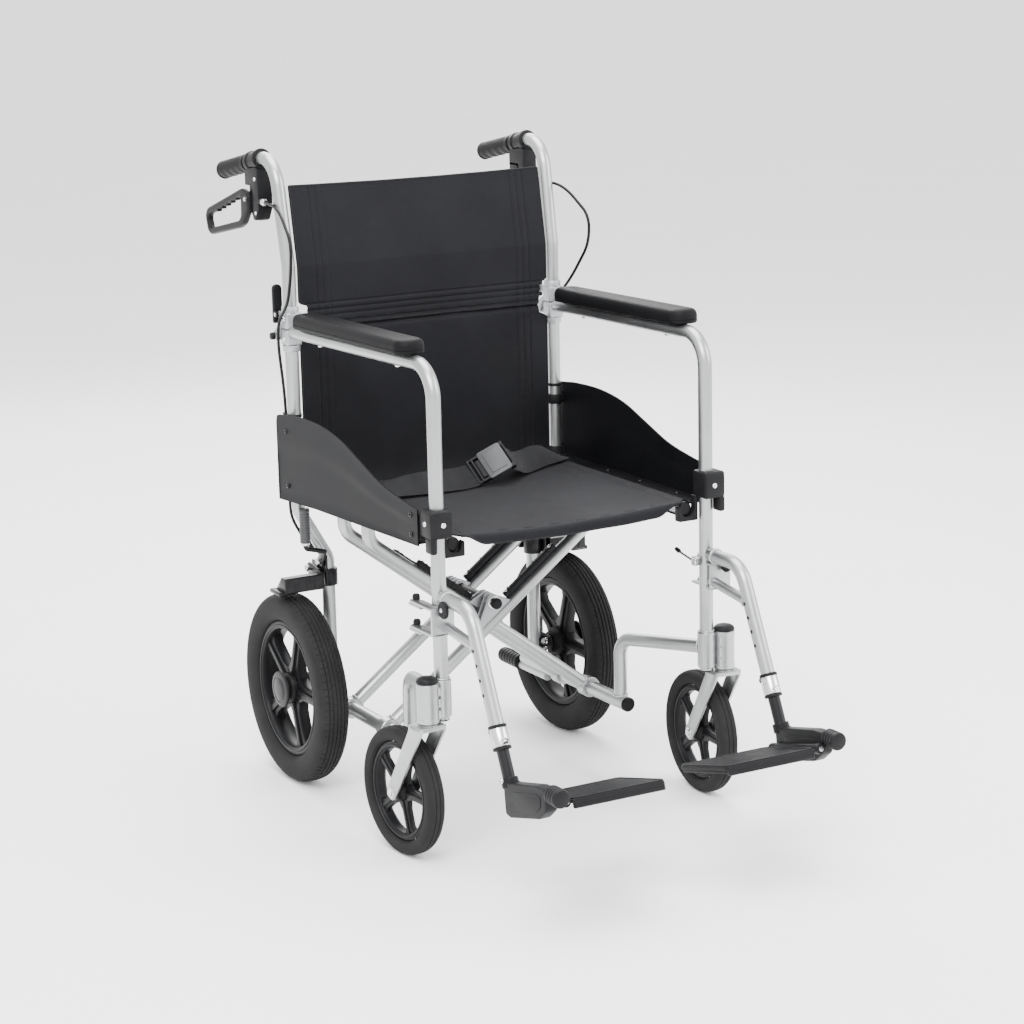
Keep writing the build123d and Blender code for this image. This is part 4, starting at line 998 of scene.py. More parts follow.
def handle(side):
    handle_tube = Shape()
    tube(handle_tube,
         [(POST_X, POST_Y, HINGE_Z + 0.010), (POST_X, POST_Y, 0.855), HANDLE_CORNER, HANDLE_END], TUBE_R,
         0.05, sides=40)
    side_piece(handle_tube, "handle tube", PAINT, "handle", side, node="handle_tube")
    upper = Shape()
    box(upper, (HINGE_IN_X, HINGE_FRONT_Y, 0.7568), (HINGE_OUT_X, HINGE_REAR_Y, 0.7835), 0.0035)
    lathe(upper, (POST_X, POST_Y, 0.7825), UP,
          [(0.0140, 0), (0.0140, 0.009), (0.0134, 0.010), (COLLAR_BORE, 0.010)], 40)
    arm = rounded_outline([(0.2805, 0.7570), (0.2805, 0.7655), (0.2865, 0.7635), (0.3140, 0.7467),
                           (0.3060, 0.7353), (0.2845, 0.7570)], 0.0015)
    for low, high in ((HINGE_IN_X, 0.2377), (0.2483, HINGE_OUT_X)):
        lathe(upper, (low, PIN_Y, PIN_Z), OUT,
              [(0, 0), (0.0064, 0), (0.0070, 0.0006), (0.0070, high - low - 0.0006), (0.0064, high - low),
               (0, high - low)], 36)
        plate(upper, arm, low, high, bevel=0.0008)
    box(upper, (0.239, 0.2795, 0.7685), (0.247, 0.3120, 0.7805), 0.0015)
    side_piece(upper, "hinge upper", GREY_CAST, "handle", side)
    pins = Shape()
    band(pins, (0.2290, PIN_Y, PIN_Z), OUT, 0, 0.0040, 0.0276, 24)
    bolt(pins, (HINGE_IN_X, PIN_Y, PIN_Z), IN, 0.0052, 0.0018)
    bolt(pins, (HINGE_OUT_X, 0.2700, 0.7730), OUT, 0.0042, 0.0028)
    side_piece(pins, "hinge pins", STEEL, "handle", side)
    cap = Shape()
    lathe(cap, (0.2560, PIN_Y, PIN_Z), OUT,
          [(0, 0), (0.0054, 0), (0.0060, 0.0006), (0.0060, 0.0050), (0.0054, 0.0064), (0.0030, 0.0070),
           (0, 0.0070)], 32)
    side_piece(cap, "hinge cap", BLACK, "handle", side)


def push_grip(side):
    """A soft grip with a collar, finger waves below, fine rings and a domed end."""
    start = handle_point(0.402)
    length = (HANDLE_END - start).length + 0.004
    steps, around = 96, 56
    turn = frame_from(HANDLE_WAY, OUT)
    down = turn.inverted() @ Vector(DOWN)
    profile = []
    for i in range(steps + 1):
        t = i / steps
        r = 0.0150
        if t < 0.045:
            r = 0.0153
        elif t > 0.955:
            r = 0.0154 - 0.0100 * ((t - 0.955) / 0.045) ** 2.5
        wave = 0.0 if t < 0.09 or t > 0.93 else 1.0
        profile.append((t, r, wave))
    verts = []
    for t, r, wave in profile:
        for k in range(around):
            a = 2 * pi * k / around
            under = max(0.0, cos(a) * down.x + sin(a) * down.y)
            fingers = -0.0016 * wave * under * (0.5 + 0.5 * cos((t - 0.09) / 0.84 * 8 * pi))
            rings = -0.0005 * wave * (0.5 + 0.5 * cos(t * 2 * pi * 34)) * (1 - under)
            q = r + fingers + rings
            verts.append(start + turn @ Vector((q * cos(a), q * sin(a), t * length)))
    grip = Shape()
    grip.add(verts, wall_faces(steps + 1, around) + end_faces(steps + 1, around))
    side_piece(grip, "push grip", GRIP, "handle", side, smooth=50, node="push_grip")


def brake_housing(side):
    housing = Shape()
    shell = rounded_outline([(0.347, 1.010), (0.396, 1.004), (0.396, 0.978), (0.3685, 0.978),
                             (0.3685, 0.925), (0.359, 0.922), (0.345, 0.944)],
                            [0.008, 0.008, 0.001, 0.002, 0.004, 0.005, 0.006])
    plate(housing, shell, HOUSING_IN_X, HOUSING_OUT_X, bevel=0.0028, segments=3)
    cheek = rounded_outline([(0.362, 0.984), (0.396, 0.984), (0.396, 0.940), (0.384, 0.922),
                             (0.359, 0.922)], [0.002, 0.004, 0.008, 0.004, 0.004])
    plate(housing, cheek, HOUSING_IN_X, 0.2512, bevel=0.0020)
    for y in (0.3575, 0.3885):
        at = handle_point(y)
        lathe(housing, at - HANDLE_WAY * 0.006, HANDLE_WAY,
              [(COLLAR_BORE, 0), (0.0158, 0), (0.0168, 0.0012), (0.0168, 0.0108), (0.0158, 0.012),
               (COLLAR_BORE, 0.012)], 44)
    at = handle_point(0.372)
    band(housing, at - HANDLE_WAY * 0.012, HANDLE_WAY, COLLAR_BORE, 0.0152, 0.028, 44)
    lathe(housing, (CABLE_EXIT_X, 0.348, CABLE_EXIT_Z), FRONT,
          [(0.0048, 0), (0.0048, 0.004), (0.0044, 0.0045), (0.0044, 0.007), (0.0048, 0.0075),
           (0.0048, 0.012), (0.0030, 0.0148), (0, 0.0150)], 24)
    side_piece(housing, "brake housing", BLACK, "handle", side, node="brake_housing")
    screws = Shape()
    bolt(screws, (HOUSING_OUT_X, 0.3565, 0.990), OUT, 0.0034, 0.0018)
    bolt(screws, (HOUSING_OUT_X, 0.3565, 0.935), OUT, 0.0030, 0.0018)
    lathe(screws, (0.2510, BRAKE_PIN_Y, BRAKE_PIN_Z), OUT,
          [(0, 0), (0.0034, 0), (0.0034, 0.0152), (0.0026, 0.0160), (0, 0.016)], 24)
    lathe(screws, (CABLE_EXIT_X, 0.3340, CABLE_EXIT_Z), FRONT,
          [(0.0030, -0.0012), (0.0052, -0.0012), (0.0058, 0), (0.0058, 0.0050), (0.0052, 0.0060),
           (0.0040, 0.0064), (0.0040, 0.0092), (0.0030, 0.0096)], 28)
    side_piece(screws, "brake screws", STEEL, "handle", side)


def brake_lever(side):
    """A closed loop of rounded bar that swells into the pivot boss."""
    outer = rounded_outline([(0.376, 0.966), (0.404, 0.972), (0.548, 0.928), (0.557, 0.916), (0.549, 0.889),
                             (0.536, 0.884), (0.418, 0.906), (0.400, 0.914), (0.376, 0.942)],
                            [0.008, 0.02, 0.014, 0.012, 0.012, 0.012, 0.02, 0.02, 0.010])
    hole = rounded_outline([(0.406, 0.960), (0.540, 0.918), (0.546, 0.911), (0.540, 0.897), (0.533, 0.896),
                            (0.420, 0.918), (0.408, 0.926)],
                           [0.006, 0.009, 0.007, 0.007, 0.006, 0.010, 0.010])
    lever = Shape()
    plate(lever, outer, 0.2522, 0.2638, bevel=0.0036, holes=[hole], segments=4)
    for k in range(5):
        share = 0.16 + 0.15 * k
        y, z = 0.408 + 0.132 * share, 0.9605 - 0.0425 * share
        lathe(lever, (0.2538, y, z), OUT,
              [(0, 0), (0.0030, 0), (0.0036, 0.0010), (0.0036, 0.0074), (0.0030, 0.0084), (0, 0.0084)], 20)
    side_piece(lever, "brake lever", BLACK, "brake_lever", side, smooth=50, node="brake_lever")
    boss = Shape()
    lathe(boss, (0.2636, BRAKE_PIN_Y, BRAKE_PIN_Z), OUT,
          [(0.0036, 0), (0.0064, 0), (0.0060, 0.0012), (0.0036, 0.0012)], 28)
    side_piece(boss, "lever boss", DARK_STEEL, "brake_lever", side)


CABLE_ROUTE = [Vector(p) * MM for p in ((255, 332.5, 955), (262, 262, 952), (272, 196, 905),
                                        (272, 200, 858), (262, 240, 800), (262, 280, 768), (256, 296, 725),
                                        (249, 293, 640), (249, 293, 500), (244, 301, 440), (228, 290, 405),
                                        (218, 281, 392))]
# The height of the cable's tie
TIE_Z = 0.612


def cable_radii(points):
    radii = []
    for before, here, after in zip(points, points[1:], points[2:]):
        half_turn = (here - before).angle(after - here) / 2
        radii.append(0.45 * min((here - before).length, (after - here).length) / tan(half_turn))
    return radii


def brake_cable(side):
    """Its lower run lies along the frame; the whole cable is one piece that belongs to no body."""
    cable = Shape()
    tube(cable, CABLE_ROUTE, 0.0025, cable_radii(CABLE_ROUTE), sides=16)
    lathe(cable, CABLE_ROUTE[0], FRONT,
          [(0, -0.006), (0.0036, -0.006), (0.0036, 0.010), (0.0027, 0.016), (0, 0.016)], 20)
    piece = side_piece(cable, "brake cable", CABLE, None, side, smooth=60, node="brake_cable")
    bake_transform(piece)
    ties = Shape()
    lathe(ties, (POST_X, POST_Y, TIE_Z), UP,
          [(COLLAR_BORE, 0), (0.0122, 0.0002), (0.0122, 0.0048), (COLLAR_BORE, 0.005)], 36)
    box(ties, (0.2455, 0.2825, TIE_Z), (0.2525, 0.2985, TIE_Z + 0.005), 0.0012)
    side_piece(ties, "cable ties", BLACK, "frame", side)
    way = (CABLE_ROUTE[-1] - CABLE_ROUTE[-2]).normalized()
    stop = Shape()
    lathe(stop, CABLE_ROUTE[-1] - way * 0.010, way,
          [(0.0026, 0), (0.0038, 0.0008), (0.0044, 0.003), (0.0044, 0.0120), (0.0036, 0.0140), (0, 0.0140)],
          28)
    side_piece(stop, "cable stop", DARK_STEEL, "frame", side)


def release_lever(side):
    lever = Shape()
    blade = rounded_outline([(0.235, 0.7595), (0.251, 0.7595), (0.251, 0.8225), (0.235, 0.8225)],
                            [0.002, 0.002, 0.0078, 0.0078], 0.2)
    plate(lever, blade, 0.3192, 0.3268, axis="y", bevel=0.0022, segments=3)
    for k in range(4):
        box(lever, (0.237, 0.3262, 0.798 + k * 0.005), (0.249, 0.3276, 0.8005 + k * 0.005), 0.0006)
    for low in (0.2350, 0.2473):
        box(lever, (low, 0.309, 0.7695), (low + 0.0037, 0.3215, 0.7795), 0.001)
    side_piece(lever, "release lever", BLACK, "release_lever", side, node="release_lever")
    pin = Shape()
    band(pin, (0.2338, 0.314, 0.7745), OUT, 0, 0.0032, 0.0184, 20)
    side_piece(pin, "release pin", STEEL, "handle", side)


# ---- wheel locks ------------------------------------------------------------

LOCK_GRIP_X = 0.245
LOCK_GRIP_Y = 0.246
LOCK_PLATE = (0.205, 0.208)


def wheel_lock(side):
    bracket = Shape()
    lathe(bracket, (PIVOT_X, POST_Y, 0.326), UP,
          [(COLLAR_BORE, 0), (0.0148, 0), (0.0155, 0.001), (0.0155, 0.027), (0.0148, 0.028),
           (COLLAR_BORE, 0.028)], 44)
    lock_plate = rounded_outline([(0.250, 0.330), (0.2615, 0.330), (0.2615, 0.386), (0.250, 0.380)], 0.003)
    plate(bracket, lock_plate, *LOCK_PLATE, bevel=0.0008)
    rear = rounded_outline([(0.2585, 0.327), (0.290, 0.326), (0.306, 0.338), (0.306, 0.364), (0.292, 0.364),
                            (0.2585, 0.362)], 0.003)
    plate(bracket, rear, *LOCK_PLATE, bevel=0.0008)
    box(bracket, (0.176, 0.2865, 0.333), (0.206, 0.2925, 0.353), 0.0015)
    side_piece(bracket, "lock bracket", DARK_STEEL, "frame", side, node="lock_bracket")
    bolts = Shape()
    for z in (0.337, 0.349):
        bolt(bolts, (0.1845, 0.2925, z), REAR, 0.0044, 0.004, "hex")
        bolt(bolts, (0.205, 0.2985, z), IN, 0.0040, 0.0035, "hex")
    for y, z, end in ((0.266, 0.368, 0.2165), (0.296, 0.352, 0.2225)):
        band(bolts, (0.207, y, z), OUT, 0, 0.004, end - 0.207, 24)
        bolt(bolts, (end - 0.0008, y, z), OUT, 0.0062, 0.0028)
    side_piece(bolts, "lock bolts", STEEL, "frame", side)
    lever = Shape()
    arm = rounded_outline([(0.258, 0.360), (0.274, 0.360), (0.274, 0.372), (0.252, 0.392), (0.240, 0.392)],
                          [0.006, 0.006, 0.004, 0.003, 0.003])
    plate(lever, arm, 0.2090, 0.2125, bevel=0.0008)
    tube(lever, [(0.2105, LOCK_GRIP_Y, 0.389), (LOCK_GRIP_X, LOCK_GRIP_Y, 0.398),
                 (LOCK_GRIP_X, LOCK_GRIP_Y, 0.410)], 0.004, 0.006, sides=20)
    side_piece(lever, "lock lever", DARK_STEEL, "lock_lever", side, node="lock_lever")
    grip = Shape()
    rings = [(0.0, 0.0), (0.0078, 0.0), (0.0088, 0.0012)]
    for k in range(11):
        rings += [(0.0088, 0.003 + k * 0.0045), (0.0082, 0.004 + k * 0.0045), (0.0082, 0.0052 + k * 0.0045),
                  (0.0088, 0.0062 + k * 0.0045)]
    rings += [(0.0088, 0.0545), (0.0080, 0.0572), (0.0050, 0.058), (0, 0.058)]
    lathe(grip, (LOCK_GRIP_X, LOCK_GRIP_Y, 0.408), UP, rings, 32)
    side_piece(grip, "lock grip", BUCKLE, "lock_lever", side)
    ring = Shape()
    band(ring, (LOCK_GRIP_X, LOCK_GRIP_Y, 0.4045), UP, 0.004, 0.0070, 0.0035, 28)
    side_piece(ring, "lock grip ring", STEEL, "lock_lever", side)
    shoe = Shape()
    link = rounded_outline([(0.287, 0.361), (0.305, 0.361), (0.305, 0.343), (0.262, 0.328), (0.246, 0.328),
                            (0.246, 0.352)], [0.007, 0.007, 0.007, 0.003, 0.003, 0.003])
    plate(shoe, link, 0.2138, 0.2172, bevel=0.0008)
    cross = rounded_outline([(0.246, 0.326), (0.246, 0.352), (0.262, 0.352), (0.282, 0.330),
                             (0.282, 0.325)], 0.0025)
    plate(shoe, cross, 0.2140, 0.2840, bevel=0.0012)
    for x in (0.228, 0.242, 0.256, 0.270):
        box(shoe, (x, 0.2452, 0.329), (x + 0.004, 0.2475, 0.349), 0.0006)
    box(shoe, (0.262, 0.2522, 0.3222), (0.292, 0.2918, 0.3290), 0.002)
    side_piece(shoe, "lock shoe", DARK_STEEL, "lock_shoe", side, node="lock_shoe")


# ---- footrests --------------------------------------------------------------

HANGER_CORNER = Vector((FRONT_X, -0.300, 0.415))
HANGER_END = Vector((FRONT_X, -0.386, 0.2305))
HANGER_WAY = (HANGER_END - HANGER_CORNER).normalized()
HANGER_LENGTH = (HANGER_END - HANGER_CORNER).length


def down_hanger(distance):
    return HANGER_CORNER + HANGER_WAY * distance


def hanger(side):
    front_y = FRONT_Y - TUBE_R - 0.0025
    hanger_shape = Shape()
    tube(hanger_shape, [(FRONT_X, front_y, 0.415), HANGER_CORNER, HANGER_END], TUBE_R, 0.045, sides=40)
    tube(hanger_shape, [(FRONT_X, front_y - 0.004, 0.374), (FRONT_X, -0.316, 0.362)], 0.008, sides=28)
    for level in PEG_LEVELS:
        low = level + 0.0043
        arm = rounded_outline([(0.226, front_y - 0.014), (0.264, front_y - 0.014), (0.264, -0.156),
                               (0.249, -0.156), (0.249, front_y), (0.226, front_y)],
                              [0.002, 0.006, 0.006, 0.004, 0.002, 0.002])
        plate(hanger_shape, arm, low, low + 0.004, axis="z", bevel=0.0008)
    box(hanger_shape, (0.226, front_y - 0.014, 0.3615), (0.264, front_y - 0.010, 0.4043), 0.001)
    side_piece(hanger_shape, "hanger", PAINT, "hanger", side, node="hanger")
    welds = Shape()
    torus_weld(welds, (FRONT_X, -0.3145, 0.3622), (0, -1, -0.12), 0.0088, seed=6)
    torus_weld(welds, (FRONT_X, front_y - 0.0145, 0.415), REAR, 0.0115, seed=5)
    side_piece(welds, "hanger welds", WELD, "hanger", side, smooth=80)
    collar = Shape()
    top = HANGER_LENGTH - 0.028
    lathe(collar, down_hanger(top), HANGER_WAY,
          [(COLLAR_BORE, 0), (0.0128, 0.0002), (0.0135, 0.0012), (0.0135, 0.0268), (0.0125, 0.028),
           (0.0098, 0.028)], 44)
    side_piece(collar, "clamp collar", STEEL, "hanger", side)
    fittings = Shape()
    for along in (top - 0.0045, HANGER_LENGTH - 0.0002):
        lathe(fittings, down_hanger(along), HANGER_WAY,
              [(0.0098, 0), (0.0130, 0), (0.0138, 0.0008), (0.0138, 0.0037), (0.0130, 0.0045),
               (0.0098, 0.0045)], 40)
    lathe(fittings, down_hanger(HANGER_LENGTH - 0.014) + Vector((0, 0.0128, 0.0026)), (0, 1, 0.2),
          [(0, 0), (0.0055, 0), (0.0070, 0.002), (0.0070, 0.009), (0.0055, 0.0108), (0, 0.011)], 24)
    lathe(fittings, (FRONT_X + TUBE_R - 0.001, -0.240, 0.4035), OUT,
          [(0, 0), (0.0126, 0), (0.0132, 0.0008), (0.0132, 0.0040), (0.0120, 0.0054), (0.0060, 0.0062),
           (0, 0.0063)], 44)
    side_piece(fittings, "hanger fittings", BLACK, "hanger", side)
    bolts = Shape()
    bolt(bolts, down_hanger(HANGER_LENGTH - 0.014) - Vector((0, 0.0132, 0.0026)), (0, -1, -0.2), 0.0050,
         0.0042, "hex")
    bolt(bolts, (FRONT_X + TUBE_R + 0.0053, -0.240, 0.4035), OUT, 0.0036, 0.0016)
    side_piece(bolts, "hanger bolts", STEEL, "hanger", side)
    # Thin black discs on the tube are painted shade standing in for the height holes; the tube itself is
    # not cut
    holes = Shape()
    for along in (0.060, 0.082, 0.104, 0.126):
        at = down_hanger(along)
        for way in (-1, 1):
            band(holes, at + Vector((way * (TUBE_R - 0.0004), 0, 0)), (way, 0, 0), 0, 0.0030, 0.0005, 20)
    side_piece(holes, "height hole painted shade", BLACK, "hanger", side)
    tips = Shape()
    for level in PEG_LEVELS:
        lathe(tips, (PEG_X, PEG_Y, level + 0.0085), UP,
              [(0, 0), (0.0044, 0), (0.0058, 0.0006), (0.0058, 0.0060), (0.0044, 0.0086), (0, 0.0092)], 28)
    side_piece(tips, "peg tips", BLACK, "frame", side)


def hanger_latch(side):
    latch = Shape()
    box(latch, (0.2120, FRONT_Y - 0.006, 0.398), (0.2164, FRONT_Y + 0.006, 0.409), 0.0012)
    tube(latch, [(0.2142, FRONT_Y + 0.003, 0.405), (0.2130, FRONT_Y + 0.030, 0.4105),
                 (0.2118, FRONT_Y + 0.0475, 0.415)], 0.002, 0.01, sides=16)
    side_piece(latch, "hanger latch", STEEL, "hanger_latch", side, node="hanger_latch")
    tip = Shape()
    lathe(tip, (0.2120, FRONT_Y + 0.038, 0.4132), (-0.03, 0.95, 0.28),
          [(0, 0), (0.0030, 0), (0.0034, 0.001), (0.0034, 0.009), (0.0026, 0.011), (0, 0.0113)], 20)
    side_piece(tip, "latch tip", BLACK, "hanger_latch", side)


FOOT_WAY = Vector((0, -cos(FOOT_TILT), sin(FOOT_TILT)))
FOOT_UP = Vector((0, sin(FOOT_TILT), cos(FOOT_TILT)))
FOOT_HINGE = Vector((0.218, -0.410, 0.1545))


def footrest_stem(side):
    stem = Shape()
    tube(stem, [down_hanger(HANGER_LENGTH - 0.030), down_hanger(HANGER_LENGTH + 0.066)], 0.00935, sides=36)
    side_piece(stem, "footrest stem", DARK_STEEL, "footrest_stem", side, node="footrest_stem")
    bracket = Shape()
    outline = rounded_outline([(-0.404, 0.188), (-0.410, 0.138), (-0.424, 0.136), (-0.506, 0.158),
                               (-0.528, 0.176), (-0.528, 0.208), (-0.500, 0.206), (-0.424, 0.188)],
                              [0.006, 0.006, 0.006, 0.012, 0.012, 0.008, 0.012, 0.010])
    plate(bracket, outline, FRONT_X - 0.0103, FRONT_X + 0.0103, bevel=0.0030, segments=3)
    inner = rounded_outline([(-0.430, 0.178), (-0.430, 0.148), (-0.500, 0.166), (-0.514, 0.178),
                             (-0.514, 0.194), (-0.498, 0.193)], 0.006)
    for low, high in ((FRONT_X - 0.0112, FRONT_X - 0.0100), (FRONT_X + 0.0100, FRONT_X + 0.0112)):
        plate(bracket, inner, low, high, bevel=0.0005)
    lathe(bracket, down_hanger(HANGER_LENGTH + 0.0450), HANGER_WAY,
          [(0.0094, 0), (0.0120, 0), (0.0128, 0.001), (0.0128, 0.013), (0.0094, 0.016)], 40)
    for near in (0.0, 0.118):
        at = FOOT_HINGE + FOOT_WAY * near
        lathe(bracket, at, FOOT_WAY,
              [(0, 0), (0.0072, 0), (0.008, 0.0008), (0.008, 0.0112), (0.0072, 0.012), (0, 0.012)], 32)
        box(bracket, (0.218, at.y - 0.011, at.z - 0.0045), (FRONT_X - 0.008, at.y - 0.001, at.z + 0.0075),
            0.0012)
    knob = [(0, 0), (0.0118, 0.0), (0.0136, 0.0018), (0.0140, 0.0050)]
    for step in range(3):
        base = 0.0075 + step * 0.006
        knob += [(0.0140, base), (0.0133, base + 0.0010), (0.0133, base + 0.0020), (0.0140, base + 0.0030)]
    knob += [(0.0140, 0.0262), (0.0130, 0.0290), (0.0100, 0.0305), (0, 0.0308)]
    lathe(bracket, (FRONT_X, -0.5262, 0.200), FRONT, knob, 44)
    side_piece(bracket, "footrest bracket", BLACK, "footrest_stem", side)
    pin = Shape()
    lathe(pin, FOOT_HINGE, FOOT_WAY, [(0, -0.0012), (0.004, -0.0012), (0.004, 0.1312), (0, 0.1312)], 24)
    bolt(pin, down_hanger(HANGER_LENGTH + 0.048) + Vector((0.0124, 0, 0)), OUT, 0.0044, 0.0030)
    side_piece(pin, "footrest pin", STEEL, "footrest_stem", side)


def footplate(side):
    """A ribbed plate with a raised rim, a front lip and cross ribs below."""
    start = FOOT_HINGE - FOOT_WAY * 0.004
    turn = Matrix((Vector(IN), FOOT_WAY, FOOT_UP)).transposed()
    width, depth = 0.157, 0.136
    local = Shape()
    outline = rounded_outline([(0.009, 0), (0.009 + width, 0), (0.009 + width, depth), (0.009, depth)],
                              [0.003, 0.010, 0.012, 0.003], 0.25)
    plate(local, outline, -0.0038, 0.0020, axis="z", bevel=0.0014)
    rim = [(0.0105, 0.0015), (0.0075 + width, 0.0015), (0.0075 + width, depth - 0.0015),
           (0.0105, depth - 0.0015)]
    inner = [(0.0135, 0.0045), (0.0045 + width, 0.0045), (0.0045 + width, depth - 0.0045),
             (0.0135, depth - 0.0045)]
    plate(local, rounded_outline(rim, 0.009, 0.25), 0.0010, 0.0040, axis="z", bevel=0.0008,
          holes=[rounded_outline(inner, 0.006, 0.25)])
    count = 17
    for k in range(count):
        y = 0.010 + (depth - 0.020) * k / (count - 1)
        box(local, (0.017, y - 0.0016, 0.0015), (0.001 + width, y + 0.0016, 0.0036), 0.0007, segments=2)
    box(local, (0.012, depth - 0.0080, -0.0120), (0.006 + width, depth - 0.0010, 0.0010), 0.0022)
    for x in (0.030, 0.075, 0.120, 0.160):
        box(local, (x, 0.006, -0.0085), (x + 0.003, depth - 0.006, -0.0030), 0.0008)
    box(local, (0.000, 0.0170, -0.0038), (0.014, 0.1210, 0.0036), 0.0015)
    footplate_shape = Shape()
    footplate_shape.put(local, start, turn)
    lathe(footplate_shape, FOOT_HINGE + FOOT_WAY * 0.0124, FOOT_WAY,
          [(0.0041, 0), (0.0070, 0), (0.0075, 0.0008), (0.0075, 0.1044), (0.0070, 0.1052),
           (0.0041, 0.1052)], 32)
    side_piece(footplate_shape, "footplate", BLACK, "footplate", side, node="footplate")


# ---- cloth ------------------------------------------------------------------

def cloth_sheet(columns, rows, place, thickness):
    """A closed sheet: place(u, v) gives the front point and the way the cloth faces."""
    front, back = [], []
    for i in range(columns + 1):
        for j in range(rows + 1):
            point, facing = place(i / columns, j / rows)
            front.append(point + facing * thickness / 2)
            back.append(point - facing * thickness / 2)
    return front + back, sheet_faces(columns, rows)


def stitches(shape, points, spacing=0.0045, radius=0.00045):
    """Short threads in a row along a path."""
    length = 0.0
    for start, end in zip(points, points[1:]):
        run = (end - start).length
        at = spacing - length % spacing
        while at + spacing * 0.6 < run:
            thread = [start.lerp(end, at / run), start.lerp(end, (at + spacing * 0.6) / run)]
            tube(shape, thread, radius, sides=5)
            at += spacing
        length += run


SEAT_REAR_Y = 0.243
SEAT_TOP_Z = 0.5008
SEAT_SAG = 0.0085
SEAT_RIPPLE = 0.0012
SEAT_STITCH_XS = (-0.1905, -0.1835, 0.1835, 0.1905)
CLOTH_THICKNESS = 0.0024
STITCH_RISE = 0.0014
SEAT_WRAP_R = 0.0127
BACK_HEM = 0.0014
BACK_TUCK = 0.0062
BACK_SEAM_XS = (0.172, 0.184, 0.196)
BACK_RIB_ZS = (0.762, 0.773, 0.783, 0.793)
BACK_STITCH_XS = (-0.199, -0.187, -0.175, 0.175, 0.187, 0.199)


def smoothstep(low, high, value):
    share = min(1.0, max(0.0, (value - low) / (high - low)))
    return share * share * (3 - 2 * share)


def wrinkle(x, y, scale, seed):
    """Soft creases, from -1 to 1."""
    return noise.fractal(Vector((x * scale, y * scale * 0.6, seed)), 0.9, 2.0, 3)


def seat_front_y(x):
    return -0.197 + 0.0125 * smoothstep(0.193, 0.207, abs(x))


def seat_drop(x):
    """How far the front hem hangs below the seat."""
    return 0.0135 * (1 - smoothstep(0.150, 0.187, abs(x)))


def seat_top_z(x, y):
    middle = 1 - (x / BRACE_TOP_X) ** 2
    sag = SEAT_SAG * max(0.0, middle)
    ripple = SEAT_RIPPLE * wrinkle(x, y, 9.0, 3.1) * smoothstep(BRACE_TOP_X, 0.12, abs(x))
    return SEAT_TOP_Z - sag + ripple


def seat_point(u, v):
    """Across from under one rail to under the other, and from the rear hem to the front hem."""
    wrap = radians(205) * SEAT_WRAP_R
    across = 2 * BRACE_TOP_X
    at = u * (across + 2 * wrap)
    if at < wrap or at > across + wrap:
        side = -1 if at < wrap else 1
        turned = (wrap - at if side < 0 else at - across - wrap) / SEAT_WRAP_R
        facing = Vector((side * sin(turned), 0, cos(turned)))
        y = SEAT_REAR_Y + v * (seat_front_y(BRACE_TOP_X) - SEAT_REAR_Y)
        return Vector((side * BRACE_TOP_X, y, SEAT_RAIL_Z)) + facing * SEAT_WRAP_R, facing
    x = at - wrap - BRACE_TOP_X
    front, drop = seat_front_y(x), seat_drop(x)
    roll = min(0.0075, drop)
    flat = SEAT_REAR_Y - front - roll
    along = v * (flat + roll * pi / 2 + max(0.0, drop - roll))
    if along <= flat or roll < 1e-5:
        y = SEAT_REAR_Y - min(along, flat)
        return Vector((x, y, seat_top_z(x, y))), Vector(UP)
    top = seat_top_z(x, front)
    turned = min(pi / 2, (along - flat) / roll)
    below = max(0.0, along - flat - roll * pi / 2)
    point = Vector((x, front + roll - roll * sin(turned), top - roll * (1 - cos(turned)) - below))
    return point, Vector((0, -sin(turned), cos(turned)))


def seat_sling():
    def place(u, v):
        point, facing = seat_point(u, v)
        seam = exp(-((abs(point.x) - 0.1870) / 0.0013) ** 2) * 0.0007
        return point - facing * seam, facing

    seat_sling_shape = Shape()
    seat_sling_shape.add(*cloth_sheet(240, 150, place, CLOTH_THICKNESS))
    sling = finish_piece(seat_sling_shape, "seat sling", NYLON, smooth=60, node="seat_sling")
    hem = Shape()
    columns = [seat_point(0.115 + 0.77 * k / 90, 1.0)[0] + Vector((0, 0.0006, -0.0004)) for k in range(91)]
    tube(hem, columns, 0.0021, sides=12)
    binding = finish_piece(hem, "seat front hem", WEBBING, smooth=60)
    thread = Shape()
    for x in SEAT_STITCH_XS:
        row = [Vector((x, y,
                       seat_top_z(x, y) + STITCH_RISE))
               for y in [0.226 - 0.405 * k / 60 for k in range(61)]]
        stitches(thread, row)
    for inset in (0.010, 0.0145):
        row = []
        for k in range(61):
            x = -0.150 + 0.300 * k / 60
            row.append(Vector((x, seat_front_y(x) + inset, seat_top_z(x, seat_front_y(x)) + STITCH_RISE)))
        stitches(thread, row)
    threads = finish_piece(thread, "seat stitching", THREAD, smooth=60)
    for piece in (sling, binding, threads):
        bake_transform(piece)


# The back: a lower panel fixed to the posts, and an upper one on the handles

def back_y(z):
    lean = (0.3047 - POST_Y) / (1.0316 - 0.855)
    return 0.2705 + lean * max(0.0, z - 0.855)


def back_half(z):
    """Half width: narrower beside the hinges."""
    notch = smoothstep(0.7330, 0.7400, z) * (1 - smoothstep(0.7910, 0.7975, z))
    return 0.2282 - 0.0155 * notch


def back_point(x, z, seed):
    across = x / BACK_HALF_X
    bow = 0.0028 * (1 - across * across)
    crease = 0.0034 * wrinkle(x, z, 7.0, seed) * (1 - smoothstep(0.120, 0.175, abs(x)))
    seam = sum(exp(-((abs(x) - at) / 0.0013) ** 2) for at in BACK_SEAM_XS) * 0.0016
    rib = sum(exp(-((z - at) / 0.0016) ** 2) for at in BACK_RIB_ZS) * 0.0022
    padding = 0.0011 * smoothstep(0.757, 0.765, z) * (1 - smoothstep(0.790, 0.798, z))
    doubled = 0.0008 * smoothstep(0.168, 0.173, abs(x))
    forward = crease + padding + doubled - bow - seam - rib
    return Vector((x, back_y(z) - forward, z))


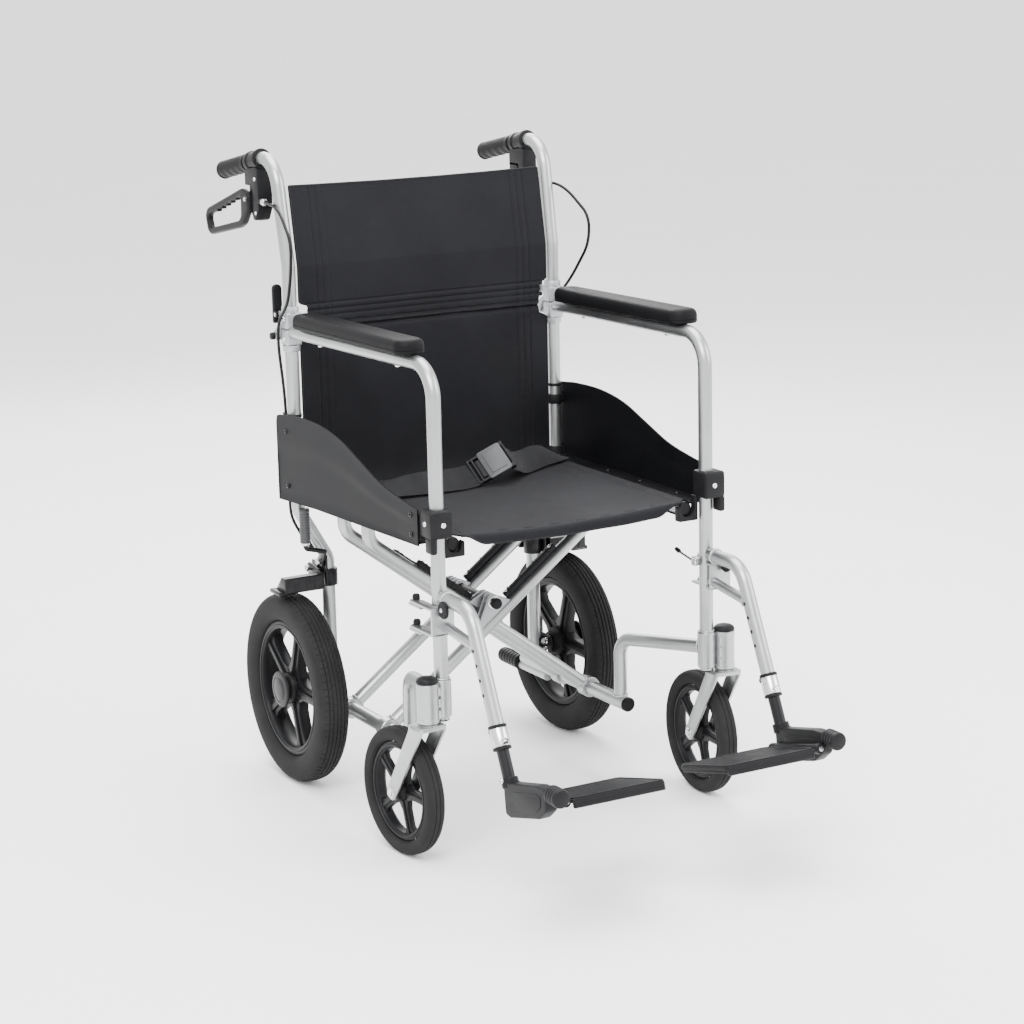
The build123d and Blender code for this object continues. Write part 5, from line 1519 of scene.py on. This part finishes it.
def back_panel(name, node, body, low, high, seed, dip):
    def place(u, v):
        z = low + v * (high - low)
        x = (2 * u - 1) * back_half(z)
        drop = dip * (1 - (x / BACK_HALF_X) ** 2) * smoothstep(0.6, 1.0, v)
        point = back_point(x, z, seed)
        tuck = BACK_TUCK * smoothstep(0.744, 0.756, z) if node == "back_lower" else 0.0
        return point + Vector((0, tuck, -drop)), Vector(FRONT)

    sheet = Shape()
    sheet.add(*cloth_sheet(230, int((high - low) / 0.0013), place, CLOTH_THICKNESS))
    panel = finish_piece(sheet, name, NYLON, body, smooth=60, node=node)
    edge = Shape()
    for side in (0.0, 1.0):
        tube(edge, [place(side, k / 70)[0] for k in range(71)], BACK_HEM + 0.0004, sides=10)
    for v in (0.0, 1.0):
        tube(edge, [place(k / 90, v)[0] for k in range(91)], BACK_HEM + 0.0006, sides=10)
    binding = finish_piece(edge, f"{name} edging", WEBBING, body, smooth=60)
    thread = Shape()
    for x in BACK_STITCH_XS:
        row = []
        for k in range(81):
            v = 0.02 + 0.96 * k / 80
            z = low + v * (high - low)
            row.append(place((x / back_half(z) + 1) / 2, v)[0] - Vector((0, STITCH_RISE, 0)))
        stitches(thread, row)
    for v in (0.0, 1.0):
        inset = v + (0.035 if v < 0.5 else -0.035)
        row = [place(0.02 + 0.96 * k / 80, inset)[0] - Vector((0, STITCH_RISE, 0)) for k in range(81)]
        stitches(thread, row)
    threads = finish_piece(thread, f"{name} stitching", THREAD, body, smooth=60)
    for piece in (panel, binding, threads):
        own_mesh(piece)


# Belt and buckle

BELT_LEAN = Vector((0.05, 0.74, 0.67)).normalized()
BUCKLE_SIZE = 1.16
BELT_WIDTH = 0.047


def belt_part(line, width, turn_flat):
    """A strap along line; turn_flat gives how flat it lies at each share of its length."""
    curve = smooth_curve(line, 16)
    total = len(curve) - 1

    def place(u, v):
        at = u * total
        k = min(int(at), total - 1)
        point = curve[k].lerp(curve[k + 1], at - k)
        run = (curve[k + 1] - curve[k]).normalized()
        lean = BELT_LEAN.lerp(Vector(REAR), turn_flat(u))
        lean = (lean - run * lean.dot(run)).normalized()
        facing = run.cross(lean)
        if facing.z < 0:
            facing = -facing
        curl = 0.0012 * cos((v - 0.5) * pi)
        return point + lean * width * v + facing * curl, facing

    return place


def seat_belt():
    far = [Vector(p) for p in ((0.052, 0.0930, 0.5210), (0.076, 0.1080, 0.5120), (0.110, 0.134, 0.5000),
                               (0.160, 0.154, 0.5035), (0.200, 0.166, 0.5055), (0.2120, 0.172, 0.5060))]
    near = [Vector(p) for p in ((0.0140, 0.1045, 0.4995), (-0.020, 0.099, 0.4960), (-0.060, 0.094, 0.4975),
                                (-0.100, 0.088, 0.4995), (-0.160, 0.080, 0.5040), (-0.2120, 0.076, 0.5060))]
    seat_belt_strap, stitching = Shape(), Shape()
    for line in (far, near):
        place = belt_part(line, BELT_WIDTH, lambda u: 0.15 + 0.75 * smoothstep(0.55, 1.0, u))
        seat_belt_strap.add(*cloth_sheet(90, 14, place, 0.0017))
        for v in (0.07, 0.93):
            row = []
            for k in range(91):
                point, facing = place(k / 90, v)
                row.append(point + facing * 0.0011)
            stitches(stitching, row, 0.0040, 0.0004)
    strap = finish_piece(seat_belt_strap, "seat belt strap", WEBBING, smooth=60, node="seat_belt")
    threads = finish_piece(stitching, "seat belt stitching", THREAD, smooth=60)
    for piece in (strap, threads):
        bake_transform(piece)


def belt_buckle():
    """A side-release buckle lying tipped back on the belt."""
    along = Vector((50.4, -14.2, 26.0)).normalized()
    up = Vector((-5.7, 41.3, 33.4))
    up = (up - along * up.dot(along)).normalized()
    facing = along.cross(up)
    if facing.y > 0:
        facing = -facing
    turn = Matrix((along, up, facing)).transposed()
    centre = Vector((0.0300, 0.1165, 0.5275))
    shell, rear = Shape(), Shape()
    case = rounded_outline([(-0.011, -0.0235), (0.025, -0.0235), (0.025, 0.0235), (-0.011, 0.0235)], 0.004)
    plate(shell, case, -0.0045, 0.0050, axis="z", bevel=0.0016)
    box(shell, (-0.004, -0.0170, 0.0045), (0.020, 0.0170, 0.0058), 0.0012)
    for y in (-0.0235, 0.0160):
        box(rear, (0.0215, y, -0.0040), (0.0300, y + 0.0075, 0.0040), 0.0016)
    box(rear, (0.0265, -0.0235, -0.0035), (0.0300, 0.0235, 0.0035), 0.0014)
    for x in (-0.0290, -0.0225):
        box(rear, (x, -0.0215, -0.0040), (x + 0.0038, 0.0215, 0.0042), 0.0014)
    for y in (-0.0215, 0.0175):
        box(rear, (-0.0290, y, -0.0038), (-0.0100, y + 0.0040, 0.0038), 0.0012)
    box(rear, (-0.0180, -0.0150, -0.0030), (-0.0100, 0.0150, 0.0022), 0.0010)
    made = []
    for form, name, material in ((shell, "buckle case", BUCKLE), (rear, "buckle frame", BLACK)):
        placed = Shape()
        placed.add([centre + turn @ (v * BUCKLE_SIZE) for v in form.verts], form.faces)
        made.append(finish_piece(placed, name, material))
    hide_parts("belt_buckle")
    for piece in made:
        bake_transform(piece)


# ---- the whole chair --------------------------------------------------------

for side in SIDES:
    side_frame(side)
    rear_post(side)
    pivot_tube(side)
    end_caps(side)
    armrest_pad(side)
    side_panel(side)
    seat_cradle(side)
    rear_wheel(side)
    caster(side)
    handle(side)
    push_grip(side)
    brake_housing(side)
    brake_lever(side)
    brake_cable(side)
    release_lever(side)
    wheel_lock(side)
    hanger(side)
    hanger_latch(side)
    footrest_stem(side)
    footplate(side)
brace("a", BRACE_A_YS, None)
brace("b", BRACE_B_YS, "right")
centre_bolt()
seat_sling()
back_panel("back lower panel", "back_lower", "frame_right", 0.4820, 0.7600, 5.3, 0.0)
back_panel("back upper panel", "back_upper", "handle_right", 0.7568, 0.9815, 1.7, 0.003)
seat_belt()
belt_buckle()


# ---- camera, light and floor ------------------------------------------------

def camera():
    at = Vector((-1.9892, -3.5843, 1.4123))
    target = Vector((0.00345, 0, 0.4732))
    roll = radians(-1.305)
    forward = (target - at).normalized()
    right = forward.cross(Vector(UP)).normalized()
    up = right.cross(forward)
    rolled_right = right * cos(roll) + up * sin(roll)
    rolled_up = up * cos(roll) - right * sin(roll)
    lens = bpy.data.cameras.new("camera")
    lens.lens = 93.306
    lens.sensor_width = 36.0
    view = bpy.data.objects.new("camera", lens)
    bpy.context.scene.collection.objects.link(view)
    turn = Matrix((rolled_right, rolled_up, -forward)).transposed().to_4x4()
    view.matrix_world = Matrix.Translation(at) @ turn
    bpy.context.scene.camera = view


def soft_light(name, at, target, size, power):
    lamp = bpy.data.lights.new(name, "AREA")
    lamp.shape = "DISK"
    lamp.size = size
    lamp.energy = power
    light = bpy.data.objects.new(name, lamp)
    bpy.context.scene.collection.objects.link(light)
    light.location = at
    light.rotation_euler = (Vector(target) - Vector(at)).to_track_quat("-Z", "Y").to_euler()


def floor():
    mesh = bpy.data.meshes.new("floor")
    half = 60.0
    mesh.from_pydata([(-half, -half, 0), (half, -half, 0), (half, half, 0), (-half, half, 0)], [],
                     [(0, 1, 2, 3)])
    mesh.materials.append(FLOOR)
    ground = bpy.data.objects.new("floor", mesh)
    bpy.context.scene.collection.objects.link(ground)


camera()
floor()
soft_light("key", (-1.8, -2.2, 3.4), (0, 0, 0.5), size=2.6, power=230)
soft_light("fill", (2.8, -2.0, 2.2), (0, 0, 0.5), size=2.4, power=95)
soft_light("top", (0.2, 0.6, 3.6), (0, 0, 0.3), size=3.0, power=190)
soft_light("rim", (1.0, 3.2, 2.4), (0, 0, 0.6), size=2.4, power=90)
world = bpy.data.worlds.new("studio")
world.use_nodes = True
world.node_tree.nodes["Background"].inputs["Color"].default_value = (1.0, 1.0, 1.0, 1.0)
world.node_tree.nodes["Background"].inputs["Strength"].default_value = 2.1
bpy.context.scene.world = world
